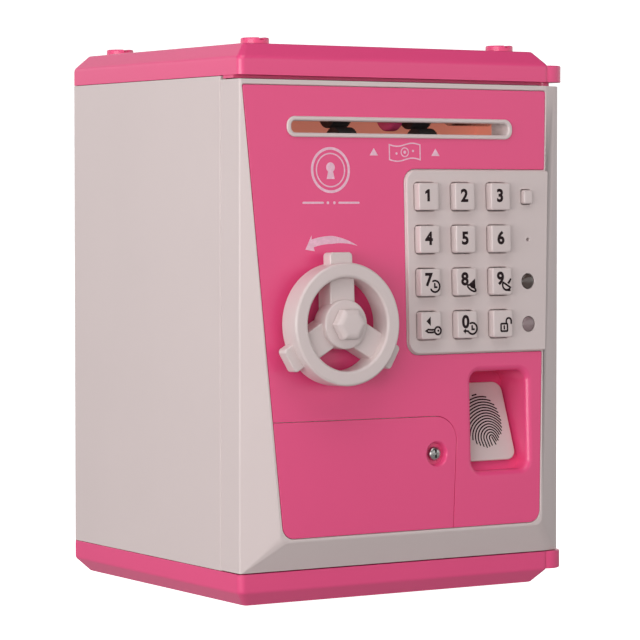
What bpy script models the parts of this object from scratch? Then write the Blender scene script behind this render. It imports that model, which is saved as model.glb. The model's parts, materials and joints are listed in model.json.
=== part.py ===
"""Toy safe coin bank with a keypad door, built as separate named pieces.

Units are millimetres in this file and metres in the scene.  X runs to the right seen from
the front, Y runs to the back and Z runs up.  The origin is on the underside, near its middle.
"""
import math

import bmesh
import bpy
from mathutils import Matrix, Vector

MM = 0.001

# Case
BODY_W = 127.1
FRONT_Y = -59.5
BACK_Y = 61.3
BODY_H = 188.0
BASE_H = 11.1
COVER_H = 10.7
CHAMFER = 4.4
CHAMFER_H = 4.8
CORNER_R = 2.3
WALL = 2.2
SEAM = 0.4
FIT = 0.3
STUD_R = 4.85
STUD_H = 2.2
STUD_X = 50.3
STUD_Y = (-47.1, 48.9)
HOOD_BACK_Y = -47.3
COIN_SLOT = (32.0, 5.0)
COIN_SLOT_Y = 16.0

# Door
DOOR_DEPTH = 12.5
COVER_GAP = 1.4
DOOR_WALL = 2.6
TILT = math.radians(2.1)
HINGE_X = 65.05
HINGE_Y = -53.3
LOBE_R = 6.2
BARREL_R = 5.1
PIN_R = 2.1
PIN_LENGTH = 8.0
PANEL_T = 1.2
PANEL_GAP = 0.2
POCKET_T = 1.4
PANEL_TOP = (-62.6, 61.6, 174.2)
PANEL_BOTTOM = (-49.9, 55.5, 22.5)
SEAM_Z = 61.6

# Handwheel and lock
WHEEL_X = -30.45
WHEEL_Z = 93.9
WHEEL_R = 20.6
WHEEL_INNER_R = 15.6
SHAFT_R = 3.05
PINION_TEETH = 8
GEAR_MODULE = 1.0
BOLT_TIP_X = -53.2
CAM_R = 10.0

# Keys
KEY_W = 8.2
KEY_H = 9.4
KEY_X = (8.65, 23.7, 38.75)
KEY_Z = (136.8, 122.1, 107.35, 92.6)
KEY_NAMES = (
    ("key_1", "key_2", "key_3"),
    ("key_4", "key_5", "key_6"),
    ("key_7", "key_8", "key_9"),
    ("key_back", "key_0", "key_unlock"),
)
BUTTON_X = 51.4
BUTTON_Z = 136.7
MICROPHONE = (52.0, 121.8)
LED_X = 51.6
LED_Z = (107.2, 92.2)
KEYPAD = (1.3, 83.0, 145.9)
KEYPAD_PROUD = 1.0

# Note feed
SLOT_X = 0.3
SLOT_Z = 160.3
SLOT_W = 88.8
SLOT_H = 4.1
ROLLER_R = 5.6
ROLLER_W = 7.2
ROLLER_X = (-17.3, 15.9)
DRIVE_YZ = (-45.5, 165.9)
IDLER_YZ = (-49.5, 155.0)

# Fingerprint recess
RECESS_X = (27.0, 51.0)
RECESS_Z = (41.5, 76.2)
RECESS_WALL = 1.2
PAD_SLOPE = math.radians(18.4)
PAD_X = 38.5
PAD_W = 22.4
PAD_L = 28.6
PAD_CORNER = 3.6
PAD_Z = 58.4
PAD_DEPTH = 9.8
PAD_TRAVEL = 0.8

# Battery compartment
BATTERY_SCREW = (12.4, 48.4)

HALF_W = BODY_W / 2
DOOR_BACK_Y = FRONT_Y + DOOR_DEPTH
DOOR_Z0 = BASE_H + SEAM
DOOR_Z1 = BODY_H - COVER_H - COVER_GAP
TILT_Z = 175.0
BODY_Z0 = BASE_H + FIT
BODY_Z1 = BODY_H - COVER_H - FIT
BODY_FRONT_Y = DOOR_BACK_Y + SEAM


# ---------------------------------------------------------------- frames of reference

def world(x, y, z):
    return Vector((x, y, z))


def on_door(x, z, out):
    """A point of the tilted front panel: across, up, and out of its face."""
    drop = (TILT_Z - z) * math.tan(TILT)
    return Vector((x, FRONT_Y - drop - out * math.cos(TILT), z + out * math.sin(TILT)))


def along_x(y, z, x):
    return Vector((x, y, z))


def on_pad(x, up, out):
    """A point of the sloping fingerprint pad, measured from the middle of its face."""
    z = PAD_Z + up * math.cos(PAD_SLOPE) + out * math.sin(PAD_SLOPE)
    depth = PAD_DEPTH + up * math.sin(PAD_SLOPE) - out * math.cos(PAD_SLOPE)
    return on_door(x, z, -depth)


def wheel_plane(x, z, out):
    return on_door(WHEEL_X + x, WHEEL_Z + z, out)


# ---------------------------------------------------------------- outlines

def circle(cx, cy, r, steps):
    return [(cx + r * math.cos(2 * math.pi * i / steps), cy + r * math.sin(2 * math.pi * i / steps))
            for i in range(steps)]


def rounded(points, radii, steps=4):
    """A closed outline with each corner replaced by an arc of its own radius."""
    result = []
    count = len(points)
    for i, point in enumerate(points):
        radius = radii[i] if isinstance(radii, (list, tuple)) else radii
        here = Vector(point)
        before = (Vector(points[i - 1]) - here).normalized()
        after = (Vector(points[(i + 1) % count]) - here).normalized()
        if radius <= 0:
            result.append((here.x, here.y))
            continue
        half = before.angle(after) / 2
        centre = here + (before + after).normalized() * (radius / math.sin(half))
        start = here + before * (radius / math.tan(half)) - centre
        end = here + after * (radius / math.tan(half)) - centre
        turn = start.angle_signed(end)
        for k in range(steps + 1):
            spoke = start.copy()
            spoke.rotate(Matrix.Rotation(-turn * k / steps, 2))
            result.append((centre.x + spoke.x, centre.y + spoke.y))
    return result


def rect(x0, y0, x1, y1, r=0.0, steps=4):
    return rounded([(x0, y0), (x1, y0), (x1, y1), (x0, y1)], r, steps)


def centred(cx, cy, w, h, r=0.0, steps=4):
    return rect(cx - w / 2, cy - h / 2, cx + w / 2, cy + h / 2, r, steps)


def grown(points, amount):
    """A counter-clockwise outline with every edge moved outwards by amount."""
    result = []
    count = len(points)
    for i, point in enumerate(points):
        here = Vector(point)
        before = (here - Vector(points[i - 1])).normalized()
        after = (Vector(points[(i + 1) % count]) - here).normalized()
        normal_before = Vector((before.y, -before.x))
        normal_after = Vector((after.y, -after.x))
        mitre = normal_before + normal_after
        moved = here + mitre * (amount / (1 + normal_before.dot(normal_after)))
        result.append((moved.x, moved.y))
    return result


# ---------------------------------------------------------------- solids

def finish(name, bm):
    bmesh.ops.recalc_face_normals(bm, faces=bm.faces)
    mesh = bpy.data.meshes.new(name)
    bm.to_mesh(mesh)
    bm.free()
    solid = bpy.data.objects.new(name, mesh)
    bpy.context.collection.objects.link(solid)
    return solid


def loft(name, rings, place=world):
    """A closed solid through rings of equal count, each an outline and its level."""
    bm = bmesh.new()
    loops = [[bm.verts.new(place(a, b, level) * MM) for a, b in outline] for outline, level in rings]
    count = len(loops[0])
    for low, high in zip(loops, loops[1:]):
        for i in range(count):
            j = (i + 1) % count
            bm.faces.new((low[i], low[j], high[j], high[i]))
    bm.faces.new(loops[0])
    bm.faces.new(loops[-1])
    return finish(name, bm)


def prism(name, outline, low, high, place=world):
    return loft(name, [(outline, low), (outline, high)], place)


def box(name, low, high):
    return prism(name, rect(low[0], low[1], high[0], high[1]), low[2], high[2])


def turned(name, profile, centre=(0.0, 0.0), place=world, steps=32):
    """A round solid from (radius, level) pairs."""
    rings = [(circle(centre[0], centre[1], r, steps), level) for r, level in profile]
    return loft(name, rings, place)


def hull(name, points):
    bm = bmesh.new()
    for point in points:
        bm.verts.new(point * MM)
    result = bmesh.ops.convex_hull(bm, input=bm.verts)
    loose = [v for v in set(result["geom_interior"] + result["geom_unused"]) if isinstance(v, bmesh.types.BMVert)]
    bmesh.ops.delete(bm, geom=loose, context="VERTS")
    bmesh.ops.dissolve_limit(bm, angle_limit=math.radians(0.2), verts=bm.verts, edges=bm.edges)
    return finish(name, bm)


def combine(target, tools, operation):
    for tool in tools:
        modifier = target.modifiers.new(operation, "BOOLEAN")
        modifier.object = tool
        modifier.operation = operation
        modifier.solver = "EXACT"
        depsgraph = bpy.context.evaluated_depsgraph_get()
        shape = bpy.data.meshes.new_from_object(target.evaluated_get(depsgraph))
        target.modifiers.clear()
        old = target.data
        target.data = shape
        bpy.data.meshes.remove(old)
        bpy.data.objects.remove(tool)
    target.data.name = target.name
    return target


def cut(target, *tools):
    return combine(target, tools, "DIFFERENCE")


def join(target, *tools):
    return combine(target, tools, "UNION")


def paint(material, *solids):
    for solid in solids:
        solid.data.materials.clear()
        solid.data.materials.append(material)


def smooth(*solids):
    """Round shading, with edges over 35 degrees kept sharp."""
    for solid in solids:
        solid.data.shade_smooth()
        solid.data.set_sharp_from_angle(angle=math.radians(35))


def plastic(name, colour, roughness, metallic=0.0):
    material = bpy.data.materials.new(name)
    material.use_nodes = True
    shader = material.node_tree.nodes["Principled BSDF"]
    shader.inputs["Base Color"].default_value = (*colour, 1.0)
    shader.inputs["Roughness"].default_value = roughness
    shader.inputs["Metallic"].default_value = metallic
    material.diffuse_color = (*colour, 1.0)
    return material


# ---------------------------------------------------------------- case

def case_outline(inset):
    return rect(-HALF_W + inset, FRONT_Y + inset, HALF_W - inset, BACK_Y - inset, CORNER_R)


def make_base(pink):
    tray = loft("base_tray", [
        (case_outline(CHAMFER), 0.0),
        (case_outline(0.0), CHAMFER_H),
        (case_outline(0.0), BASE_H),
    ])
    join(tray, turned("lobe", [(LOBE_R, CHAMFER_H), (LOBE_R, BASE_H)], (HINGE_X, HINGE_Y)))
    join(tray, turned("pin", [(PIN_R, BASE_H - 2), (PIN_R, BASE_H + PIN_LENGTH)], (HINGE_X, HINGE_Y), steps=20))
    floor = 2.4
    back_bay = loft("bay", [
        (rect(-HALF_W + CHAMFER + 1.5, BODY_FRONT_Y + 3, HALF_W - CHAMFER - 1.5, BACK_Y - CHAMFER - 1.5), floor),
        (rect(-HALF_W + 3.6, BODY_FRONT_Y + 3, HALF_W - 3.6, BACK_Y - 3.6), CHAMFER_H + 1),
        (rect(-HALF_W + 3.6, BODY_FRONT_Y + 3, HALF_W - 3.6, BACK_Y - 3.6), BASE_H + 1),
    ])
    cut(tray, back_bay)
    cut(tray, box("front_bay", (-54, FRONT_Y + 7, -1), (54, BODY_FRONT_Y - 1, BASE_H - floor)))
    for x, y in case_screw_places():
        join(tray, turned("post", [(4.5, 1.5), (4.5, BASE_H)], (x, y), steps=20))
        cut(tray, turned("head_well", [(3.6, -1), (3.6, 1.8)], (x, y), steps=20))
        cut(tray, turned("clear", [(1.8, 0), (1.8, BASE_H + 2)], (x, y), steps=16))
    paint(pink, tray)


def case_screw_places():
    return [(x, y) for y in (-12.0, 46.0) for x in (-50.0, 50.0)]


def make_body(white):
    shell = prism("body_shell", rounded(
        [(-HALF_W, BODY_FRONT_Y), (HALF_W, BODY_FRONT_Y), (HALF_W, BACK_Y), (-HALF_W, BACK_Y)],
        [0, 0, CORNER_R, CORNER_R]), BODY_Z0, BODY_Z1)
    inside = HALF_W - WALL
    cut(shell, box("inside", (-inside, BODY_FRONT_Y - 2, BODY_Z0 + WALL), (inside, BACK_Y - WALL, BODY_Z1 + 2)))
    for x, y in case_screw_places():
        join(shell, turned("boss", [(4.2, BODY_Z0 + 1), (4.2, BODY_Z0 + 8)], (x, y), steps=20))
        cut(shell, turned("hole", [(1.75, BODY_Z0 - 1), (1.75, BODY_Z0 + 6)], (x, y), steps=16))
    paint(white, shell)


def make_cover(pink):
    low = BODY_H - COVER_H
    shoulder = BODY_H - CHAMFER_H
    cover = loft("top_cover", [
        (case_outline(0.0), low),
        (case_outline(0.0), shoulder),
        (case_outline(CHAMFER), BODY_H),
    ])
    join(cover, turned("lobe", [(LOBE_R, low), (LOBE_R, shoulder)], (HINGE_X, HINGE_Y)))
    join(cover, turned("pin", [(PIN_R, low - COVER_GAP - PIN_LENGTH), (PIN_R, low + 2)], (HINGE_X, HINGE_Y), steps=20))
    inner = WALL + 0.4
    hollow = loft("hollow", [
        (rect(-HALF_W + inner, HOOD_BACK_Y, 57.0, BACK_Y - inner), low - 1),
        (rect(-HALF_W + inner, HOOD_BACK_Y, 57.0, BACK_Y - inner), shoulder - 0.6),
        (rect(-HALF_W + 6.0, HOOD_BACK_Y, 56.0, BACK_Y - 6.0), BODY_H - WALL),
    ])
    cut(cover, hollow)
    stop_low = (-HALF_W + 0.6, FRONT_Y + 5.0, low - COVER_GAP + SEAM)
    join(cover, box("dust_stop", stop_low, (HINGE_X - 1.0, HOOD_BACK_Y - 0.4, low + 1)))
    side = HALF_W - WALL - 0.5
    back = BACK_Y - WALL - 0.5
    front = BODY_FRONT_Y + 4
    lip = [(-side, front), (-side + 1.6, front), (-side + 1.6, back - 1.6), (side - 1.6, back - 1.6),
           (side - 1.6, front), (side, front), (side, back), (-side, back)]
    join(cover, prism("lip", lip, low - 1.8, shoulder + 0.8))
    for x in (-STUD_X, STUD_X):
        for y in STUD_Y:
            join(cover, turned("stud", [(STUD_R, BODY_H - 1), (STUD_R, BODY_H + STUD_H - 0.4),
                                        (STUD_R - 0.4, BODY_H + STUD_H)], (x, y), steps=28))
            cut(cover, box("notch", (x - 0.9, y - 7, BODY_H + STUD_H - 0.9), (x + 0.9, y + 7, BODY_H + STUD_H + 1)))
    slot = centred(0.0, COIN_SLOT_Y, COIN_SLOT[0], COIN_SLOT[1], 1.2)
    cut(cover, prism("coin_slot", slot, BODY_H - 6, BODY_H + 3))
    paint(pink, cover)


def make_strike(steel):
    """The catch that the bolt slides behind: a block with a mouth open to the back."""
    front_y, back_y = BODY_FRONT_Y + 2.0, BODY_FRONT_Y + 12.6
    wall_t = 1.6
    inner_x = -HALF_W + WALL + 0.25
    strike = box("strike_plate", (inner_x, front_y, 74.0), (inner_x + 4.6, back_y, 96.0))
    cut(strike, box("keep", (inner_x - 1, front_y + wall_t, 81.0), (inner_x + 6, back_y + 1, 89.0)))
    paint(steel, strike)


def make_case_screws(steel):
    for number, (x, y) in enumerate(case_screw_places(), 1):
        screw = turned("case_screw_%d" % number, [
            (2.9, 0.4), (2.9, 1.5), (1.4, 1.5), (1.4, 15.0), (0.5, 16.2)], (x, y), steps=16)
        paint(steel, screw)


# ---------------------------------------------------------------- door front

def door_plan():
    """Plan of the door block: square front, hinge barrel on the right."""
    left = rounded([(-HALF_W, DOOR_BACK_Y), (-HALF_W, FRONT_Y), (62.0, FRONT_Y)], [0, 0.9, 0])
    barrel = [(HINGE_X + BARREL_R * math.cos(a), HINGE_Y + BARREL_R * math.sin(a))
              for a in [math.radians(-84 + 144 * i / 16) for i in range(17)]]
    return left + barrel + [(58.6, DOOR_BACK_Y)]


def panel_edge_x(z, side):
    """Side edge of the front panel at height z: side 0 is the left one and side 1 the right one."""
    share = (z - PANEL_BOTTOM[2]) / (PANEL_TOP[2] - PANEL_BOTTOM[2])
    return PANEL_BOTTOM[side] + (PANEL_TOP[side] - PANEL_BOTTOM[side]) * share


def plateau():
    """Raised face of the door, a little larger than the panel that lies in it."""
    rim = 1.0
    side = 0.2
    return [(PANEL_BOTTOM[0] - rim, PANEL_BOTTOM[2] - rim), (PANEL_BOTTOM[1] + rim, PANEL_BOTTOM[2] - rim),
            (PANEL_TOP[1] + side, TILT_Z), (PANEL_TOP[0] - side, TILT_Z)]


def panel_pocket():
    x0, z0, z1 = KEYPAD[0] - FIT, KEYPAD[1] - FIT, KEYPAD[2] + FIT
    points = [(PANEL_BOTTOM[0], PANEL_BOTTOM[2]), (PANEL_BOTTOM[1], PANEL_BOTTOM[2]),
              (panel_edge_x(z0, 1), z0), (x0, z0), (x0, z1), (panel_edge_x(z1, 1), z1),
              (PANEL_TOP[1], PANEL_TOP[2]), (PANEL_TOP[0], PANEL_TOP[2])]
    return rounded(points, [4.5, 4.5, 0.6, 4.5, 4.5, 0.6, 0.8, 0.8])


def panel_outline():
    gap = PANEL_GAP
    x0, z0, z1 = KEYPAD[0] - FIT - gap, KEYPAD[1] - FIT - gap, KEYPAD[2] + FIT + gap
    seam_z = SEAM_Z + gap
    bottom = PANEL_BOTTOM[2] + gap
    top = PANEL_TOP[2] - gap
    points = [(19.0, bottom), (PANEL_BOTTOM[1] - gap, bottom), (panel_edge_x(z0, 1) - gap, z0), (x0, z0),
              (x0, z1), (panel_edge_x(z1, 1) - gap, z1), (PANEL_TOP[1] - gap, top),
              (PANEL_TOP[0] + gap, top), (panel_edge_x(seam_z, 0) + gap, seam_z), (21.7, seam_z - 0.3)]
    return rounded(points, [0, 4.3, 0.6, 4.7, 4.7, 0.6, 0.8, 0.8, 0, 8.7])


def battery_cover_outline():
    gap = PANEL_GAP
    seam_z = SEAM_Z - gap
    bottom = PANEL_BOTTOM[2] + gap
    points = [(PANEL_BOTTOM[0] + gap, bottom), (18.5, bottom), (21.1, seam_z - 0.3),
              (panel_edge_x(seam_z, 0) + gap, seam_z)]
    return rounded(points, [4.3, 0, 8.3, 0])


def make_door_shell(white):
    plan = door_plan()
    points = [world(x, y, z) for x, y in plan for z in (DOOR_Z0, DOOR_Z1)]
    points += [on_door(x, z, 0.0) for x, z in rounded(plateau(), [3.0, 3.0, 0.5, 0.5])]
    shell = hull("door_shell", points)

    inner = [(-49.4, 23.3), (54.4, 23.0), (56.8, 173.4), (-60.4, 173.4)]
    room = [on_door(x, z, -DOOR_WALL) for x, z in inner]
    room += [world(x, y, z) for x in (-HALF_W + WALL, 57.0) for y in (FRONT_Y + WALL + 0.2, DOOR_BACK_Y + 2)
             for z in (DOOR_Z0 + WALL, DOOR_Z1 - WALL)]
    cut(shell, hull("room", room))

    right_low = panel_edge_x(KEYPAD[1], 1) + 0.9
    right_high = panel_edge_x(KEYPAD[2], 1) + 0.9
    plate = [(KEYPAD[0], KEYPAD[1]), (right_low, KEYPAD[1]), (right_high, KEYPAD[2]), (KEYPAD[0], KEYPAD[2])]
    plate = rounded(plate, [4.2, 0.6, 0.6, 4.2])
    small = grown(plate, -0.7)
    cut(shell, prism("pocket", panel_pocket(), -POCKET_T, 9, on_door))
    join(shell, loft("keypad", [(plate, -1.3), (plate, KEYPAD_PROUD - 0.7), (small, KEYPAD_PROUD)], on_door))

    for x, z in door_screw_places():
        root_y = FRONT_Y + 1.4 - 3.0 * (TILT_Z - z) / TILT_Z
        join(shell, turned("boss", [(3.0, root_y), (3.0, DOOR_BACK_Y - 0.2)], (x, z), place=facing_back, steps=16))
        cut(shell, turned("hole", [(1.4, FRONT_Y + 4), (1.4, DOOR_BACK_Y + 2)], (x, z), place=facing_back, steps=12))

    def through(outline):
        cut(shell, prism("through", outline, -6, 9, on_door))

    through(centred(SLOT_X, SLOT_Z, SLOT_W + 2.8, SLOT_H + 2.3, 3.0))
    through(circle(WHEEL_X, WHEEL_Z, SHAFT_R + 0.4, 20))
    through(rect(RECESS_X[0] - 1.6, RECESS_Z[0] - 1.6, RECESS_X[1] + 1.6, RECESS_Z[1] + 1.6, 4.6))
    through(rect(-46.0, 27.6, 3.0, 57.2, 1.0))
    through(circle(BATTERY_SCREW[0], BATTERY_SCREW[1], 6.1, 20))
    through(centred(BUTTON_X, BUTTON_Z, 4.4, 5.4, 0.8, 3))
    through(circle(*MICROPHONE, 0.6, 10))
    for z in LED_Z:
        through(circle(LED_X, z, 2.8, 20))
    for x in KEY_X:
        for z in KEY_Z:
            through(centred(x, z, KEY_W + 0.6, KEY_H + 0.6, 1.5, 3))
    for low, high in ((DOOR_Z0 - 1, DOOR_Z0 + PIN_LENGTH + 0.4), (DOOR_Z1 - PIN_LENGTH - 0.4, DOOR_Z1 + 1)):
        cut(shell, turned("pin_hole", [(PIN_R + 0.3, low), (PIN_R + 0.3, high)], (HINGE_X, HINGE_Y), steps=20))
    paint(white, shell)


def facing_back(x, z, y):
    return Vector((x, y, z))


def door_screw_places():
    return [(-55.0, 22.0), (-55.0, 166.0)]


def make_front_panel(pink):
    panel = prism("front_panel", panel_outline(), -PANEL_T, 0.0, on_door)
    floor_drop = PAD_TRAVEL + 0.8
    floor_t = 1.4
    far = 60.0
    left, right = RECESS_X
    low, high = RECESS_Z
    outer = rect(left - RECESS_WALL, low - RECESS_WALL, right + RECESS_WALL, high + RECESS_WALL, 4.4)
    well = prism("well", outer, -21.0, -0.4, on_door)
    under_floor = -floor_drop - floor_t
    cut(well, prism("behind", centred(PAD_X, 0.0, far, far), under_floor - far, under_floor, on_pad))
    join(panel, well)
    room = prism("room", rect(left, low, right, high, 3.6), -26.0, 5.0, on_door)
    cut(room, prism("below", centred(PAD_X, 0.0, far, far), -floor_drop - far, -floor_drop, on_pad))
    cut(panel, room)
    cut(panel, prism("pad_hole", centred(PAD_X, 0.0, PAD_W - 1.0, PAD_L - 1.0, 3.2), -6.0, 2.0, on_pad))
    cut(panel, prism("slot", centred(SLOT_X, SLOT_Z, SLOT_W + 2.6, SLOT_H + 2.1, 2.9), -3, 3, on_door))
    cut(panel, prism("shaft", circle(WHEEL_X, WHEEL_Z, SHAFT_R + 0.6, 20), -3, 3, on_door))
    paint(pink, panel)


def make_bezel(white):
    rim = loft("note_slot_bezel", [
        (centred(SLOT_X, SLOT_Z, SLOT_W + 3.4, SLOT_H + 2.9, 3.2, 6), 0.15),
        (centred(SLOT_X, SLOT_Z, SLOT_W + 3.4, SLOT_H + 2.9, 3.2, 6), 0.5),
        (centred(SLOT_X, SLOT_Z, SLOT_W + 2.8, SLOT_H + 2.3, 2.9, 6), 0.8),
    ], on_door)
    join(rim, prism("tube", centred(SLOT_X, SLOT_Z, SLOT_W + 2.0, SLOT_H + 1.6, 2.6, 6), -3.4, 0.4, on_door))
    for side in (-1, 1):
        x = SLOT_X + side * (SLOT_W / 2 + 0.45)
        join(rim, prism("cheek", centred(x, SLOT_Z, 1.0, SLOT_H + 0.6), -9.5, -3.0, on_door))
    cut(rim, prism("mouth", centred(SLOT_X, SLOT_Z, SLOT_W, SLOT_H, 1.7, 6), -12, 4, on_door))
    paint(white, rim)


def make_battery_parts(pink, white, steel):
    cover = prism("battery_cover", battery_cover_outline(), -PANEL_T, 0.0, on_door)
    join(cover, prism("cup", circle(*BATTERY_SCREW, 5.6, 24), -4.2, -0.5, on_door))
    cut(cover, turned("dish", [(3.5, -3.0), (4.5, -0.6), (4.7, 2.0)], BATTERY_SCREW, on_door, 24))
    cut(cover, prism("hole", circle(*BATTERY_SCREW, 1.8, 16), -6, 1, on_door))
    paint(pink, cover)

    screw = turned("battery_cover_screw", [(0.4, -10.5), (1.4, -9.0), (1.4, -2.8), (2.4, -2.8), (2.4, -2.0),
                                           (1.7, -1.4)], BATTERY_SCREW, on_door, 20)
    for w, h in ((0.6, 2.6), (2.6, 0.6)):
        cut(screw, prism("cross", centred(*BATTERY_SCREW, w, h), -2.1, 0, on_door))
    paint(steel, screw)

    tray = prism("battery_box", rect(-47.6, 26.0, 4.6, 58.8, 1.0, 2), -20.0, -3.1, on_door)
    cut(tray, prism("bay", rect(-46.2, 27.4, 3.2, 57.4, 0.6, 2), -18.6, 0, on_door))
    paint(white, tray)
    for name, x in (("battery_contact_left", -45.6), ("battery_contact_right", 2.6)):
        contact = prism(name, centred(x, 42.4, 0.5, 26.0), -17.0, -6.0, on_door)
        paint(steel, contact)


# ---------------------------------------------------------------- keys

def make_key(name, x, z, w, h, top, mount_w, mount_h, corner, material):
    soft = 0.5
    rings = [
        (centred(x, z, mount_w, mount_h, corner, 3), -4.0),
        (centred(x, z, mount_w, mount_h, corner, 3), -3.0),
        (centred(x, z, w, h, corner, 3), -3.0),
        (centred(x, z, w, h, corner, 3), top - soft),
        (centred(x, z, w - 0.3, h - 0.3, corner, 3), top - soft * 0.3),
        (centred(x, z, w - 2 * soft, h - 2 * soft, corner * 0.8, 3), top),
    ]
    key = loft(name, rings, on_door)
    paint(material, key)


def make_keys(white, rubber):
    for names, z in zip(KEY_NAMES, KEY_Z):
        for name, x in zip(names, KEY_X):
            make_key(name, x, z, KEY_W, KEY_H, KEYPAD_PROUD + 2.8, KEY_W + 2.2, KEY_H + 2.2, 1.2, white)
    make_key("mode_button", BUTTON_X, BUTTON_Z, 3.8, 4.8, KEYPAD_PROUD + 1.7, 6.0, 7.0, 0.5, white)
    mat = prism("key_mat", rect(2.4, 85.0, 46.4, 144.0, 2.0), -6.2, -5.2, on_door)
    paint(rubber, mat)


def make_pad(white):
    outline = centred(PAD_X, 0.0, PAD_W, PAD_L, PAD_CORNER)
    stem = centred(PAD_X, 0.0, PAD_W - 2.2, PAD_L - 2.2, PAD_CORNER - 1.0)
    rim = 0.6
    pad = loft("fingerprint_pad", [
        (stem, -PAD_TRAVEL - 3.8),
        (stem, -rim),
        (outline, -rim),
        (outline, -0.2),
        (grown(outline, -0.4), 0.0),
    ], on_pad)
    paint(white, pad)


# ---------------------------------------------------------------- handwheel and lock

def spoke(name, angle, r0, r1, width, low, high, r=0.0):
    """A bar of the wheel running outwards at an angle from straight right."""
    outline = []
    for along, across in rect(r0, -width / 2, r1, width / 2, r):
        outline.append((along * math.cos(angle) - across * math.sin(angle),
                        along * math.sin(angle) + across * math.cos(angle)))
    return prism(name, outline, low, high, wheel_plane)


def make_handwheel(white):
    low, high, soft = 3.0, 12.3, 0.8
    wheel = turned("handwheel", [(WHEEL_R - soft, low), (WHEEL_R, low + soft), (WHEEL_R, high - soft),
                                 (WHEEL_R - soft, high)], place=wheel_plane, steps=64)
    cut(wheel, turned("eye", [(WHEEL_INNER_R, low - 2), (WHEEL_INNER_R, high - soft),
                              (WHEEL_INNER_R + soft, high), (WHEEL_INNER_R + soft, high + 2)],
                      place=wheel_plane, steps=64))
    join(wheel, turned("hub", [(6.8, 1.2), (8.3, 4.0), (8.3, 10.2), (7.5, 11.0)], place=wheel_plane, steps=32))
    for third in range(3):
        angle = math.radians(90 + 120 * third)
        join(wheel, spoke("arm", angle, 3.0, 17.5, 9.6, 1.4, 9.0))
        join(wheel, spoke("tab", angle, 18.5, 24.1, 8.9, 4.0, 8.6, 1.4))
    cut(wheel, turned("bore", [(SHAFT_R + 0.25, 0), (SHAFT_R + 0.25, 8.6)], place=wheel_plane, steps=20))
    cap = turned("handwheel_cap", [(5.8, 11.3), (5.8, 13.6), (5.2, 14.6), (3.6, 15.1)], place=wheel_plane, steps=6)
    paint(white, wheel, cap)


def gear_outline(teeth, module, addendum, dedendum, thickness):
    """Straight-sided teeth, the first one pointing straight up."""
    pitch_r = teeth * module / 2
    slope = math.tan(math.radians(20))
    outline = []
    for i in range(teeth):
        middle = math.pi / 2 + 2 * math.pi * i / teeth
        for radius, half in ((pitch_r - dedendum, thickness / 2 + dedendum * slope),
                             (pitch_r + addendum, thickness / 2 - addendum * slope)):
            swing = half / radius
            outline.append((radius, middle - swing, middle + swing))
    points = []
    for root, tip in zip(outline[0::2], outline[1::2]):
        points += [(root[0], root[1]), (tip[0], tip[1]), (tip[0], tip[2]), (root[0], root[2])]
    return [(r * math.cos(a), r * math.sin(a)) for r, a in points]


def make_lock(steel, white):
    pitch = math.pi * GEAR_MODULE
    pitch_r = PINION_TEETH * GEAR_MODULE / 2
    thickness = 0.38 * pitch
    shaft = turned("wheel_shaft", [(SHAFT_R, -28.0), (SHAFT_R, 8.2)], place=wheel_plane, steps=24)
    teeth = gear_outline(PINION_TEETH, GEAR_MODULE, 0.7, 1.1, thickness)
    join(shaft, prism("teeth", teeth, -25.6, -20.4, wheel_plane))

    cam = turned("lock_cam", [(CAM_R, -16.2), (CAM_R, -13.8)], place=wheel_plane, steps=40)
    cut(cam, turned("bore", [(SHAFT_R + 0.25, -18), (SHAFT_R + 0.25, -12)], place=wheel_plane, steps=20))
    cut(cam, prism("notch_down", rect(-2.3, -CAM_R - 2, 2.3, -CAM_R + 3.4), -18, -12, wheel_plane))
    cut(cam, prism("notch_right", rect(CAM_R - 3.4, -2.3, CAM_R + 2, 2.3), -18, -12, wheel_plane))

    slope = math.tan(math.radians(20))
    gum, tip, belly = -pitch_r - 1.0, -pitch_r + 0.7, -pitch_r - 7.0
    wide, narrow = thickness / 2 + 1.0 * slope, thickness / 2 - 0.7 * slope
    rack = [(BOLT_TIP_X - WHEEL_X, gum), (BOLT_TIP_X - WHEEL_X, belly), (8.5 + pitch, belly), (8.5 + pitch, gum)]
    for k in range(3, -3, -1):
        x = (k + 0.5) * pitch
        rack += [(x + wide, gum), (x + narrow, tip), (x - narrow, tip), (x - wide, gum)]
    bolt = prism("lock_bolt", rack, -25.2, -20.8, wheel_plane)

    body = prism("solenoid_body", rect(-6.5, -30.0, 6.5, -14.8, 0.8, 2), -20.4, -9.4, wheel_plane)
    cut(body, turned("bore", [(2.0, -28.5), (2.0, -12)], (0.0, -15.0), solenoid_axis, 20))
    plunger = turned("solenoid_plunger", [(1.6, -27.0), (1.6, -CAM_R - 0.6)], (0.0, -15.0), solenoid_axis, 20)
    paint(steel, shaft, cam, bolt, body, plunger)


def solenoid_axis(x, out, z):
    return wheel_plane(x, z, out)


# ---------------------------------------------------------------- note feed

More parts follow.
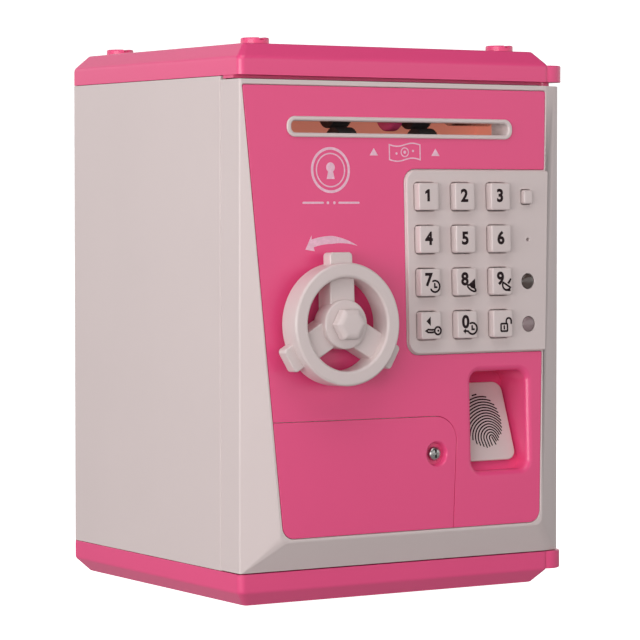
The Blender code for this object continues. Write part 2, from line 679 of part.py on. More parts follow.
def make_feed(steel, rubber, pink, tan):
    for kind, (y, z), low, high in (("drive", DRIVE_YZ, -46.4, 29.0), ("idler", IDLER_YZ, -46.4, 48.6)):
        shaft = turned("%s_shaft" % kind, [(1.5, low), (1.5, high)], (y, z), along_x, 16)
        paint(steel, shaft)
        for side, x in zip(("left", "right"), ROLLER_X):
            roller = turned("%s_roller_%s" % (kind, side), [
                (ROLLER_R - 0.4, x - ROLLER_W / 2), (ROLLER_R, x - ROLLER_W / 2 + 0.4),
                (ROLLER_R, x + ROLLER_W / 2 - 0.4), (ROLLER_R - 0.4, x + ROLLER_W / 2)], (y, z), along_x, 40)
            cut(roller, turned("bore", [(1.65, x - 9), (1.65, x + 9)], (y, z), along_x, 16))
            paint(rubber, roller)
    y, z = DRIVE_YZ
    disc = turned("feed_disc", [(5.8, 2.8), (6.4, 3.6), (6.4, 6.6), (5.8, 7.4)], (y, z), along_x, 40)
    cut(disc, turned("bore", [(1.65, 0), (1.65, 12)], (y, z), along_x, 16))
    paint(pink, disc)

    motor = turned("gear_motor", [(4.2, 30.0), (4.2, 46.4)], (y, z), along_x, 32)
    cut(motor, turned("socket", [(1.7, 28), (1.7, 31)], (y, z), along_x, 12))
    paint(steel, motor)

    chute = [(-37.6, 168.6), (-36.0, 168.6), (-36.0, 165.6), (-27.4, 152.0), (-28.6, 151.2), (-37.6, 165.2)]
    guide = prism("note_guide", chute[::-1], -47.4, 49.8, along_x)
    for x0, x1 in ((-48.5, -47.0), (49.2, 51.0)):
        ear = [(-56.4, 149.5), (-30.0, 149.5), (-30.0, 153.0), (-39.5, 169.6), (-52.0, 169.6), (-56.4, 160.0)]
        join(guide, prism("ear", ear[::-1], x0, x1, along_x))
    paint(tan, guide)


# ---------------------------------------------------------------- door back and electronics

def make_door_back(white, steel):
    flange_y = DOOR_BACK_Y + 0.3
    rear_y = -24.0
    back = box("door_back_cover", (-59.5, flange_y, DOOR_Z0 + 2.8), (55.9, flange_y + 1.8, 174.4))
    join(back, box("bulge", (-50.6, flange_y + 1.0, 16.0), (54.4, rear_y, 174.0)))
    cut(back, box("room", (-48.8, flange_y - 2, 17.8), (52.6, rear_y - 1.8, 172.8)))
    cut(back, box("note_exit", (-43.0, rear_y - 4, 141.0), (44.0, rear_y + 2, 149.0)))
    cut(back, box("bolt_exit", (-53.0, -43.0, 80.9), (-47.0, -36.6, 89.1)))
    for x, z in door_screw_places():
        cut(back, turned("hole", [(1.7, flange_y - 3), (1.7, flange_y + 4)], (x, z), facing_back, 12))
    paint(white, back)
    for number, (x, z) in enumerate(door_screw_places(), 1):
        screw = turned("door_screw_%d" % number, [
            (0.5, flange_y - 7.0), (1.2, flange_y - 6.0), (1.2, flange_y + 2.1), (2.8, flange_y + 2.1),
            (2.8, flange_y + 3.3)], (x, z), facing_back, 14)
        paint(steel, screw)


def make_electronics(board_green, red, green, dark):
    board = prism("main_board", rect(1.0, 81.0, 55.4, 146.0, 1.0, 2), -8.2, -6.6, on_door)
    paint(board_green, board)
    for name, z, lens in (("led_red", LED_Z[0], red), ("led_green", LED_Z[1], green)):
        led = turned(name, [(2.9, -6.4), (2.9, -5.4), (2.45, -5.4), (2.45, -0.9), (2.1, 0.1), (1.3, 0.7), (0.4, 0.9)],
                     (LED_X, z), on_door, 24)
        paint(lens, led)
    speaker = turned("speaker", [(9.0, -14.0), (9.0, -11.0), (14.0, -8.5), (14.0, -7.0)], (-38.0, 130.0), on_door, 32)
    paint(dark, speaker)


# ---------------------------------------------------------------- joint axes

def set_origin(point, *names):
    """Puts the origins of pieces on a point of their joint's axis, leaving the shapes in place."""
    for name in names:
        solid = bpy.data.objects[name]
        solid.data.transform(Matrix.Translation(-point * MM))
        solid.location = point * MM


def set_origins():
    moved = {
        ("handwheel", "handwheel_cap", "wheel_shaft", "lock_cam"): wheel_plane(0.0, 0.0, 0.0),
        ("lock_bolt",): wheel_plane(BOLT_TIP_X - WHEEL_X, -8.0, -23.0),
        ("solenoid_plunger",): solenoid_axis(0.0, -15.0, -CAM_R),
        ("drive_shaft", "drive_roller_left", "drive_roller_right", "feed_disc"): along_x(*DRIVE_YZ, 0.0),
        ("idler_shaft", "idler_roller_left", "idler_roller_right"): along_x(*IDLER_YZ, 0.0),
        ("fingerprint_pad",): on_pad(PAD_X, 0.0, 0.0),
        ("mode_button",): on_door(BUTTON_X, BUTTON_Z, 0.0),
    }
    for names, z in zip(KEY_NAMES, KEY_Z):
        for name, x in zip(names, KEY_X):
            moved[(name,)] = on_door(x, z, 0.0)
    still = {"base_tray", "body_shell", "top_cover", "strike_plate"}
    still.update("case_screw_%d" % number for number in range(1, 5))
    for names, point in moved.items():
        set_origin(point, *names)
        still.update(names)
    on_hinge = [solid.name for solid in bpy.data.objects if solid.name not in still]
    set_origin(world(HINGE_X, HINGE_Y, DOOR_Z0), *on_hinge)


def build():
    for thing in list(bpy.data.objects):
        bpy.data.objects.remove(thing)
    pink = plastic("pink_plastic", (0.69, 0.105, 0.255), 0.28)
    white = plastic("white_plastic", (0.74, 0.68, 0.66), 0.38)
    rubber = plastic("black_rubber", (0.02, 0.02, 0.02), 0.7)
    steel = plastic("steel", (0.55, 0.55, 0.56), 0.35, 1.0)
    tan = plastic("tan_plastic", (0.5, 0.2, 0.11), 0.5)
    board_green = plastic("circuit_board", (0.03, 0.2, 0.07), 0.5)
    red = plastic("led_red", (0.08, 0.02, 0.015), 0.15)
    green = plastic("led_green", (0.4, 0.3, 0.33), 0.15)

    make_base(pink)
    make_body(white)
    make_cover(pink)
    make_strike(steel)
    make_case_screws(steel)
    make_door_shell(white)
    make_front_panel(pink)
    make_bezel(white)
    make_battery_parts(pink, white, steel)
    make_keys(white, rubber)
    make_pad(white)
    make_handwheel(white)
    make_lock(steel, white)
    make_feed(steel, rubber, pink, tan)
    make_door_back(white, steel)
    make_electronics(board_green, red, green, rubber)
    smooth(*bpy.data.objects)
    set_origins()


build()
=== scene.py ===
import json
import math

import bmesh
import bpy
from mathutils import Matrix, Vector

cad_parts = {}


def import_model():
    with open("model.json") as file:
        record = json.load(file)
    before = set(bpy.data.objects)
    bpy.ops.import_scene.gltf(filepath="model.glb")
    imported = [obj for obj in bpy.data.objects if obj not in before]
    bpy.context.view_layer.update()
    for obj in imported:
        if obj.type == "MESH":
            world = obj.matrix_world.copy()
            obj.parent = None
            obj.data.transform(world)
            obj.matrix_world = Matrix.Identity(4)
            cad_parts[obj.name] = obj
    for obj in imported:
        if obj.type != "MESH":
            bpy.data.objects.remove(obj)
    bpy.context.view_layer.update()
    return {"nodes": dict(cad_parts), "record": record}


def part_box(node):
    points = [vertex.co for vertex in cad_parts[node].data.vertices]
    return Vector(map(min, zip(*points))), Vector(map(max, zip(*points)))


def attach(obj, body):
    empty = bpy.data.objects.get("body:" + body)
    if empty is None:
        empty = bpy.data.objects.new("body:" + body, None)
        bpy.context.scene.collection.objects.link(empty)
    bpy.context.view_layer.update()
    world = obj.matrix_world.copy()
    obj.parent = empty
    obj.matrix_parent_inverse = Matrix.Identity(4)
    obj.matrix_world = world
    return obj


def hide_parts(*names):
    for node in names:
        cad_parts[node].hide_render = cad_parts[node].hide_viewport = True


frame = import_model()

MM = 0.001


def node_box(node):
    """Lowest and highest corner of a CAD node, in millimetres."""
    low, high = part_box(node)
    return low / MM, high / MM


def node_middle(node):
    low, high = node_box(node)
    return (low + high) / 2


# ---- sizes taken from the frame

BASE_LOW, BASE_HIGH = node_box("base_tray")
BODY_LOW, BODY_HIGH = node_box("body_shell")
COVER_HIGH = node_box("top_cover")[1]
DOOR_LOW, DOOR_HIGH = node_box("door_shell")

HALF_W = BODY_HIGH.x
BACK_Y = BODY_HIGH.y
FRONT_Y = BASE_LOW.y
BODY_FRONT_Y = BODY_LOW.y
SPLIT = 0.4  # room between the back of the door and the body
DOOR_BACK_Y = BODY_FRONT_Y - SPLIT
DOOR_Z0 = DOOR_LOW.z
DOOR_Z1 = DOOR_HIGH.z
STUD_H = 2.2
BODY_H = COVER_HIGH.z - STUD_H
JOIN_GAP = 0.3  # seam between the body and the base or the cover
BASE_H = BODY_LOW.z - JOIN_GAP
COVER_BOTTOM = BODY_HIGH.z + JOIN_GAP

# Case
CORNER_R = 2.3
CHAMFER = 4.4
CHAMFER_H = 4.8
WALL = 2.2
STUD_R = 4.85
STUD_X = 50.3
STUD_Y = (-47.1, 48.9)
HOOD_BACK_Y = -47.3
COIN_SLOT_W = 32.0
COIN_SLOT_D = 5.0
COIN_SLOT_Y = 16.0
CASE_SCREWS = [(x, y) for y in (-12.0, 46.0) for x in (-50.0, 50.0)]

# Door: its face comes forward going down from TILT_Z, where it meets the square front
TILT = math.radians(2.1)
TILT_Z = 175.0
LOBE_R = 6.2
HINGE_X = BASE_HIGH.x - LOBE_R
HINGE_Y = FRONT_Y + LOBE_R
BARREL_R = 5.1
PIN_R = 2.1
PIN_LENGTH = 8.0
DOOR_ROOM_X = 57.0  # where the hollow of the door and of the cover ends, short of the hinge
DOOR_WALL = 2.6
DOOR_SCREWS = [(-55.0, 22.0), (-55.0, 166.0)]

# Front panel, with (left, right, height) of its top and bottom edges, and the battery cover in its corner
PANEL_T = 1.2
PANEL_GAP = 0.2
PANEL_ROUND = 0.18
POCKET_T = 1.4
PANEL_TOP = (-62.6, 61.6, 174.2)
PANEL_BOTTOM = (-49.9, 55.5, 22.5)
SEAM_GAP = 0.1
SEAM_Z = 61.6
SEAM_DROP = 0.3  # the seam's right end lies this much lower
SEAM_FOOT_X = 18.65
SEAM_CORNER_X = 21.3
BATTERY_SCREW = (12.4, 48.4)
KEYPAD_LEFT, KEYPAD_LOW, KEYPAD_HIGH = 1.3, 83.0, 145.9
KEYPAD_PROUD = 1.0

# Handwheel
WHEEL_X = node_middle("handwheel_cap").x
WHEEL_Z = 93.9
WHEEL_R = 20.6
WHEEL_INNER_R = 15.6
SHAFT_R = 3.05

# Keys and lamps
KEY_W = 8.2
KEY_H = 9.4
KEY_TOP = KEYPAD_PROUD + 2.8
KEY_FLANGE = 1.1  # width of the flange that holds a key under the plate
KEY_X = (8.65, 23.7, 38.75)
KEY_Z = (136.8, 122.1, 107.35, 92.6)
KEY_ROWS = ("1 2 3", "4 5 6", "7 8 9", "back 0 unlock")
BUTTON_X = 51.4
BUTTON_Z = 136.7
LED_X = 51.6
LED_Z = (107.2, 92.2)
MIC = (52.0, 121.8)

# Note feed
SLOT_X = 0.3
SLOT_Z = 160.3
SLOT_W = 88.8
SLOT_H = 4.1
ROLLER_R = 5.6
ROLLER_W = 7.2
ROLLER_BORE_R = 1.65
ROLLER_RIDGES = 36
RIDGE_H = 0.22
ROLLER_X = (-17.3, 15.9)
DRIVE_YZ = (-45.5, 165.9)
IDLER_YZ = (-49.5, 155.0)

# Fingerprint recess
RECESS_X = (27.4, 51.0)
RECESS_Z = (41.5, 76.2)
PAD_SLOPE = math.radians(18.4)
PAD_X = 38.5
PAD_W = 22.4
PAD_L = 28.6
PAD_Z = 58.4
PAD_DEPTH = 9.8

# Print: thickness, how far it sinks into the face, width of the lines in the small symbols
INK_T = 0.05
INK_SINK = 0.02
SYMBOL_LINE = 0.66
BADGE_X = -28.7


# ---- places

def world(x, y, z):
    """Plain X, Y and Z, for outlines that lie flat and are lofted upwards."""
    return Vector((x, y, z))


def on_door(x, z, out):
    """A point of the tilted front panel: across, up, and out of its face."""
    drop = (TILT_Z - z) * math.tan(TILT)
    return Vector((x, FRONT_Y - drop - out * math.cos(TILT), z + out * math.sin(TILT)))


def on_pad(x, up, out):
    """A point of the sloping fingerprint pad, measured from the middle of its face."""
    z = PAD_Z + up * math.cos(PAD_SLOPE) + out * math.sin(PAD_SLOPE)
    depth = PAD_DEPTH + up * math.sin(PAD_SLOPE) - out * math.cos(PAD_SLOPE)
    return on_door(x, z, -depth)


def wheel_plane(x, z, out):
    """A point measured from the middle of the handwheel, on the front panel."""
    return on_door(WHEEL_X + x, WHEEL_Z + z, out)


def along_x(y, z, x):
    """For outlines in Y and Z that are swept along X."""
    return Vector((x, y, z))


def along_y(x, z, y):
    """For outlines in X and Z that are swept along Y."""
    return Vector((x, y, z))


# ---- outlines

def polar(cx, cy, r, angle):
    return (cx + r * math.cos(angle), cy + r * math.sin(angle))


def circle(cx, cy, r, steps=64):
    return [polar(cx, cy, r, 2 * math.pi * i / steps) for i in range(steps)]


def arc(cx, cy, r, start, end, steps=24):
    """Points of an arc between two angles in degrees, anticlockwise from the right."""
    return [polar(cx, cy, r, math.radians(start + (end - start) * k / steps)) for k in range(steps + 1)]


def shifted(points, x, y):
    return [(x + a, y + b) for a, b in points]


def rounded(points, radii, steps=8):
    """A closed outline with each corner replaced by an arc of its own radius."""
    result = []
    count = len(points)
    for i, point in enumerate(points):
        radius = radii[i] if isinstance(radii, (list, tuple)) else radii
        here = Vector(point)
        before = (Vector(points[i - 1]) - here).normalized()
        after = (Vector(points[(i + 1) % count]) - here).normalized()
        if radius <= 0:
            result.append((here.x, here.y))
            continue
        half = before.angle(after) / 2
        centre = here + (before + after).normalized() * (radius / math.sin(half))
        start = here + before * (radius / math.tan(half)) - centre
        end = here + after * (radius / math.tan(half)) - centre
        turn = start.angle_signed(end)
        for k in range(steps + 1):
            spoke = start.copy()
            spoke.rotate(Matrix.Rotation(-turn * k / steps, 2))
            result.append((centre.x + spoke.x, centre.y + spoke.y))
    return result


def rect(x0, y0, x1, y1, r=0.0, steps=8):
    return rounded([(x0, y0), (x1, y0), (x1, y1), (x0, y1)], r, steps)


def centred(cx, cy, w, h, r=0.0, steps=8):
    return rect(cx - w / 2, cy - h / 2, cx + w / 2, cy + h / 2, r, steps)


def grown(points, amount):
    """A counter-clockwise outline with every edge moved outwards by amount."""
    result = []
    count = len(points)
    for i, point in enumerate(points):
        here = Vector(point)
        before = (here - Vector(points[i - 1])).normalized()
        after = (Vector(points[(i + 1) % count]) - here).normalized()
        normal_before = Vector((before.y, -before.x))
        normal_after = Vector((after.y, -after.x))
        mitre = normal_before + normal_after
        moved = here + mitre * (amount / (1 + normal_before.dot(normal_after)))
        result.append((moved.x, moved.y))
    return result


# ---- solids

def finish_mesh(name, bm):
    bmesh.ops.recalc_face_normals(bm, faces=bm.faces)
    mesh = bpy.data.meshes.new(name)
    bm.to_mesh(mesh)
    bm.free()
    solid = bpy.data.objects.new(name, mesh)
    bpy.context.collection.objects.link(solid)
    return solid


def loft(name, rings, place=world):
    """A closed solid through rings of equal count, each an outline and its level."""
    bm = bmesh.new()
    loops = [[bm.verts.new(place(a, b, level) * MM) for a, b in outline] for outline, level in rings]
    count = len(loops[0])
    for low, high in zip(loops, loops[1:]):
        for i in range(count):
            j = (i + 1) % count
            bm.faces.new((low[i], low[j], high[j], high[i]))
    bm.faces.new(loops[0])
    bm.faces.new(loops[-1])
    return finish_mesh(name, bm)


def prism(name, outline, low, high, place=world):
    return loft(name, [(outline, low), (outline, high)], place)


def fillet_rings(outline, top, radius, steps=4):
    """Rings that round the top edge of an outline's prism."""
    rings = []
    for k in range(steps + 1):
        angle = math.pi / 2 * k / steps
        inset = radius * (1 - math.cos(angle))
        rings.append((grown(outline, -inset), top - radius + radius * math.sin(angle)))
    return rings


def pill(name, outline, low, high, radius, place=world, steps=4, both=False):
    """A prism with its top edge rounded, and its bottom edge too if both is set."""
    rings = fillet_rings(outline, high, radius, steps)
    if both:
        under = [(shape, low + high - level) for shape, level in rings]
        rings = under[::-1] + rings
    else:
        rings = [(outline, low)] + rings
    return loft(name, rings, place)


def box(name, low, high):
    return prism(name, rect(low[0], low[1], high[0], high[1]), low[2], high[2])


def turned(name, profile, centre=(0.0, 0.0), place=world, steps=48):
    """A round solid from (radius, level) pairs."""
    return loft(name, [(circle(*centre, r, steps), level) for r, level in profile], place)


def soft_profile(pairs, radius, steps=3):
    """(radius, level) pairs with the corners between the first and the last rounded."""
    result = [pairs[0]]
    for before, here, after in zip(pairs, pairs[1:], pairs[2:]):
        corner = Vector(here)
        back = Vector(before) - corner
        ahead = Vector(after) - corner
        reach = min(radius, back.length * 0.45, ahead.length * 0.45)
        start = corner + back.normalized() * reach
        end = corner + ahead.normalized() * reach
        for k in range(steps + 1):
            t = k / steps
            point = start * (1 - t) ** 2 + corner * (2 * t * (1 - t)) + end * t ** 2
            result.append((point.x, point.y))
    result.append(pairs[-1])
    return result


def ring_solid(name, section, place, steps=96):
    """A ring from a closed (radius, level) section turned about the axis."""
    bm = bmesh.new()
    grid = []
    for i in range(steps):
        angle = 2 * math.pi * i / steps
        grid.append([bm.verts.new(place(r * math.cos(angle), r * math.sin(angle), level) * MM)
                     for r, level in section])
    count = len(section)
    for i in range(steps):
        here, there = grid[i], grid[(i + 1) % steps]
        for k in range(count):
            m = (k + 1) % count
            bm.faces.new((here[k], here[m], there[m], there[k]))
    return finish_mesh(name, bm)


def hull(name, points):
    """The convex solid round some points."""
    bm = bmesh.new()
    for point in points:
        bm.verts.new(point * MM)
    result = bmesh.ops.convex_hull(bm, input=bm.verts)
    inner = set(result["geom_interior"] + result["geom_unused"])
    loose = [v for v in inner if isinstance(v, bmesh.types.BMVert)]
    bmesh.ops.delete(bm, geom=loose, context="VERTS")
    bmesh.ops.dissolve_limit(bm, angle_limit=math.radians(0.2), verts=bm.verts, edges=bm.edges)
    return finish_mesh(name, bm)


def soften(solid, width, low_angle, high_angle=180.0, segments=3):
    """Rounds the edges of a solid whose faces turn by an angle between the two limits, in degrees."""
    bm = bmesh.new()
    bm.from_mesh(solid.data)
    edges = [e for e in bm.edges if len(e.link_faces) == 2
             and math.radians(low_angle) < e.calc_face_angle() <= math.radians(high_angle)]
    bmesh.ops.bevel(bm, geom=edges, offset=width * MM, segments=segments, profile=0.5, affect="EDGES",
                    clamp_overlap=True)
    bm.to_mesh(solid.data)
    bm.free()


def combine(target, tools, operation):
    for tool in tools:
        modifier = target.modifiers.new(operation, "BOOLEAN")
        modifier.object = tool
        modifier.operation = operation
        modifier.solver = "EXACT"
        depsgraph = bpy.context.evaluated_depsgraph_get()
        shape = bpy.data.meshes.new_from_object(target.evaluated_get(depsgraph))
        target.modifiers.clear()
        old = target.data
        target.data = shape
        bpy.data.meshes.remove(old)
        bpy.data.objects.remove(tool)


def cut(target, *tools):
    combine(target, tools, "DIFFERENCE")


def join(target, *tools):
    combine(target, tools, "UNION")


def dress(solid, material, body, node, sharp=38.0):
    """Gives a finished piece its shading and material, puts it on its body and hides the CAD node it stands
    for.
    """
    solid.data.materials.clear()
    solid.data.materials.append(material)
    solid.data.shade_smooth()
    solid.data.set_sharp_from_angle(angle=math.radians(sharp))
    normals = solid.modifiers.new("weighted_normals", "WEIGHTED_NORMAL")
    normals.keep_sharp = True
    normals.weight = 60
    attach(solid, body)
    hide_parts(node)


# ---- materials

def set_inputs(node, **values):
    """Sets a shader node's inputs; underscores stand for the spaces in their names."""
    for name, value in values.items():
        node.inputs[name.replace("_", " ")].default_value = value


class Shader:
    """A Principled material with a few helpers for wiring its detail."""

    def __init__(self, name, colour, roughness, metallic=0.0):
        self.material = bpy.data.materials.new(name)
        self.material.use_nodes = True
        self.tree = self.material.node_tree
        self.shader = self.tree.nodes["Principled BSDF"]
        self.colour = colour
        set_inputs(self.shader, Base_Color=(*colour, 1.0), Roughness=roughness, Metallic=metallic)
        self.coordinates = self.tree.nodes.new("ShaderNodeTexCoord")

    def link(self, a, b):
        self.tree.links.new(a, b)

    def noise(self, scale, detail, stretch=(1.0, 1.0, 1.0)):
        mapping = self.tree.nodes.new("ShaderNodeMapping")
        set_inputs(mapping, Scale=stretch)
        self.link(self.coordinates.outputs["Object"], mapping.inputs["Vector"])
        noise = self.tree.nodes.new("ShaderNodeTexNoise")
        set_inputs(noise, Scale=scale, Detail=detail, Roughness=0.55)
        self.link(mapping.outputs["Vector"], noise.inputs["Vector"])
        return noise.outputs["Fac"]

    def remap(self, value, low, high, to_low, to_high):
        node = self.tree.nodes.new("ShaderNodeMapRange")
        set_inputs(node, From_Min=low, From_Max=high, To_Min=to_low, To_Max=to_high)
        self.link(value, node.inputs["Value"])
        return node.outputs["Result"]

    def math(self, operation, a, b):
        node = self.tree.nodes.new("ShaderNodeMath")
        node.operation = operation
        for socket, value in zip(node.inputs, (a, b)):
            if isinstance(value, (int, float)):
                socket.default_value = value
            else:
                self.link(value, socket)
        return node.outputs["Value"]

    def mottle(self, noise, darker, lighter):
        """Colour that drifts between two shades of the material's own."""
        node = self.tree.nodes.new("ShaderNodeMix")
        node.data_type = "RGBA"
        shades = [(*(min(1.0, c * share) for c in self.colour), 1.0) for share in (darker, lighter)]
        set_inputs(node, A=shades[0], B=shades[1])
        self.link(noise, node.inputs["Factor"])
        self.link(node.outputs["Result"], self.shader.inputs["Base Color"])

    def rough(self, value):
        self.link(value, self.shader.inputs["Roughness"])

    def uneven(self, noise, low, high):
        """Roughness that drifts between two values with a noise."""
        self.rough(self.remap(noise, 0.3, 0.7, low, high))

    def bump(self, height, strength, distance):
        node = self.tree.nodes.new("ShaderNodeBump")
        set_inputs(node, Strength=strength, Distance=distance * MM)
        self.link(height, node.inputs["Height"])
        self.link(node.outputs["Normal"], self.shader.inputs["Normal"])


def moulded_plastic(name, colour, roughness, grain=0.35, worn=1.0, painted_glow=0.0):
    """Injection-moulded plastic: faint mottling, moulding ripple, fine grain and hairline scratches.

    A little emission is painted light: it brightens a piece as if more light fell on it, as on the tan parts
    deep inside the note slot.
    """
    look = Shader(name, colour, roughness)
    look.mottle(look.remap(look.noise(28.0, 3.0), 0.2, 0.8, 0.0, 1.0), 0.985, 1.015)
    smudges = look.noise(55.0, 5.0)
    hairs = look.noise(900.0, 2.0, (0.06, 1.0, 1.0))
    hairs_across = look.noise(1100.0, 2.0, (1.0, 0.6, 0.05))
    scratches = look.math("MAXIMUM", look.remap(hairs, 0.66, 0.72, 0.0, 1.0),
                          look.remap(hairs_across, 0.67, 0.73, 0.0, 1.0))
    base = look.remap(smudges, 0.2, 0.8, roughness - 0.012, roughness + 0.015)
    look.rough(look.math("ADD", base, look.math("MULTIPLY", scratches, 0.008 * worn)))
    fine = look.math("MULTIPLY", look.noise(2600.0, 3.0), grain)
    look.bump(look.math("ADD", look.noise(60.0, 1.0), fine), 0.05, 0.1)
    # Emission here is painted light on a piece that is no lamp.
    set_inputs(look.shader, IOR=1.49, Emission_Color=(*colour, 1.0), Emission_Strength=painted_glow)
    return look.material


def metal(name, colour, roughness):
    look = Shader(name, colour, roughness, 1.0)
    look.mottle(look.noise(90.0, 4.0), 0.8, 1.15)
    brushed = look.noise(1500.0, 3.0, (1.0, 1.0, 0.08))
    look.uneven(brushed, roughness - 0.08, roughness + 0.12)
    look.bump(brushed, 0.15, 0.05)
    return look.material


def rubber(name, colour):
    look = Shader(name, colour, 0.62)
    look.mottle(look.noise(140.0, 5.0), 0.7, 1.6)
    look.uneven(look.noise(300.0, 4.0), 0.5, 0.72)
    look.bump(look.noise(2400.0, 4.0), 0.35, 0.12)
    return look.material


def print_ink(name, colour, roughness):
    """Pad-printed ink: even, with a faintly thin patch here and there."""
    look = Shader(name, colour, roughness)
    look.mottle(look.remap(look.noise(900.0, 5.0), 0.45, 0.75, 0.0, 1.0), 1.0, 1.25)
    look.uneven(look.noise(1500.0, 3.0), roughness - 0.06, roughness + 0.08)
    look.bump(look.noise(5000.0, 3.0), 0.12, 0.05)
    set_inputs(look.shader, Specular_IOR_Level=0.2)
    return look.material


def circuit_board(name, colour):
    look = Shader(name, colour, 0.35)
    look.mottle(look.remap(look.noise(260.0, 1.0, (1.0, 1.0, 0.2)), 0.48, 0.52, 0.0, 1.0), 1.0, 1.7)
    look.uneven(look.noise(500.0, 3.0), 0.28, 0.45)
    look.bump(look.noise(900.0, 3.0), 0.2, 0.08)
    return look.material


def lens_plastic(name, colour, transmission):
    """Tinted diffusing resin of a lamp."""
    look = Shader(name, colour, 0.12)
    look.mottle(look.noise(400.0, 3.0), 0.85, 1.15)
    look.uneven(look.noise(800.0, 3.0), 0.08, 0.2)
    look.bump(look.noise(1500.0, 2.0), 0.08, 0.05)
    set_inputs(look.shader, Transmission_Weight=transmission, Coat_Weight=0.5, Coat_Roughness=0.05)
    return look.material


WHITE_COLOUR = (0.70, 0.59, 0.58)

PINK = moulded_plastic("pink_plastic", (0.86, 0.082, 0.243), 0.248, 0.3)
WHITE = moulded_plastic("white_plastic", WHITE_COLOUR, 0.40, 0.5)
WHITE_GLOSSY = moulded_plastic("white_key_plastic", WHITE_COLOUR, 0.32, 0.25, 0.6)
# The tan parts inside the note slot get painted light: emission that brightens them as light falling into
# the slot would.
TAN = moulded_plastic("tan_plastic", (0.60, 0.20, 0.14), 0.45, painted_glow=0.55)
STEEL = metal("steel", (0.50, 0.49, 0.48), 0.26)
RUBBER = rubber("black_rubber", (0.022, 0.018, 0.018))
BOARD = circuit_board("circuit_board", (0.03, 0.2, 0.07))
RED_LENS = lens_plastic("led_red", (0.105, 0.07, 0.06), 0.25)
GREEN_LENS = lens_plastic("led_green", (0.34, 0.24, 0.25), 0.2)
WHITE_INK = print_ink("white_ink", (0.84, 0.50, 0.62), 0.4)
DARK_INK = print_ink("dark_ink", (0.018, 0.007, 0.009), 0.6)

# The record's material slots with the finishes that belong to each; CAD pieces take the first one.
FINISHES = {
    "pink_plastic": (PINK,), "white_plastic": (WHITE, WHITE_GLOSSY, WHITE_INK), "tan_plastic": (TAN,),
    "steel": (STEEL,), "black_rubber": (RUBBER, DARK_INK), "circuit_board": (BOARD,),
    "led_red": (RED_LENS,), "led_green": (GREEN_LENS,),
}


# ---- case

def case_profile(levels):
    """Rings of the case outline through (inset, level) pairs."""
    return [(rect(-HALF_W + inset, FRONT_Y + inset, HALF_W - inset, BACK_Y - inset,
                  max(0.6, CORNER_R - 0.2 * inset)), level) for inset, level in levels]


def hinge_post(name, profile, steps=48):
    """A round solid about the door's hinge axis."""
    return turned(name, profile, (HINGE_X, HINGE_Y), steps=steps)


def make_base():
    edge = [(CHAMFER + 1.0, 0.0), (CHAMFER, 0.0), (0.0, CHAMFER_H), (0.0, BASE_H), (0.5, BASE_H)]
    tray = loft("base", case_profile(soft_profile(edge, 0.7)))
    lobe = [(LOBE_R - 1.0, CHAMFER_H), (LOBE_R, CHAMFER_H), (LOBE_R, BASE_H), (LOBE_R - 0.6, BASE_H)]
    join(tray, hinge_post("lobe", soft_profile(lobe, 0.5)))
    tip = BASE_H + PIN_LENGTH
    join(tray, hinge_post("pin", [(PIN_R, BASE_H - 2), (PIN_R, tip - 0.5), (PIN_R - 0.5, tip)], 32))

    floor = 2.4
    bay = []
    for wall, level in ((CHAMFER + 1.5, floor), (3.6, CHAMFER_H + 1), (3.6, BASE_H + 1)):
        bay.append((rect(-HALF_W + wall, BODY_FRONT_Y + 3, HALF_W - wall, BACK_Y - wall), level))
    cut(tray, loft("bay", bay))
    cut(tray, box("front_bay", (-54, FRONT_Y + 7, -1), (54, BODY_FRONT_Y - 1, BASE_H - floor)))
    for x, y in CASE_SCREWS:
        join(tray, turned("post", [(4.5, 1.5), (4.5, BASE_H)], (x, y), steps=32))
        cut(tray, turned("head_well", [(4.0, -1), (4.0, 0.0), (3.6, 0.4), (3.6, 1.8)], (x, y), steps=32))
        cut(tray, turned("clear", [(1.8, 0), (1.8, BASE_H + 2)], (x, y), steps=24))
    dress(tray, PINK, "case", "base_tray")


def make_body():
    front_r = 0.45
    outline = rect(-HALF_W, BODY_FRONT_Y, HALF_W, BACK_Y, [front_r, front_r, CORNER_R, CORNER_R])
    reach = JOIN_GAP / 2
    low, high = BODY_LOW.z - reach, BODY_HIGH.z + reach
    shell = pill("body", outline, low, high, 0.12, steps=2, both=True)
    inside = HALF_W - WALL
    cut(shell, box("inside", (-inside, BODY_FRONT_Y - 2, low + WALL), (inside, BACK_Y - WALL, high + 2)))
    for x, y in CASE_SCREWS:
        join(shell, turned("boss", [(4.2, low + 1), (4.2, low + 8)], (x, y), steps=32))
        cut(shell, turned("hole", [(1.75, low - 1), (1.75, low + 6)], (x, y), steps=24))
    dress(shell, WHITE, "case", "body_shell")


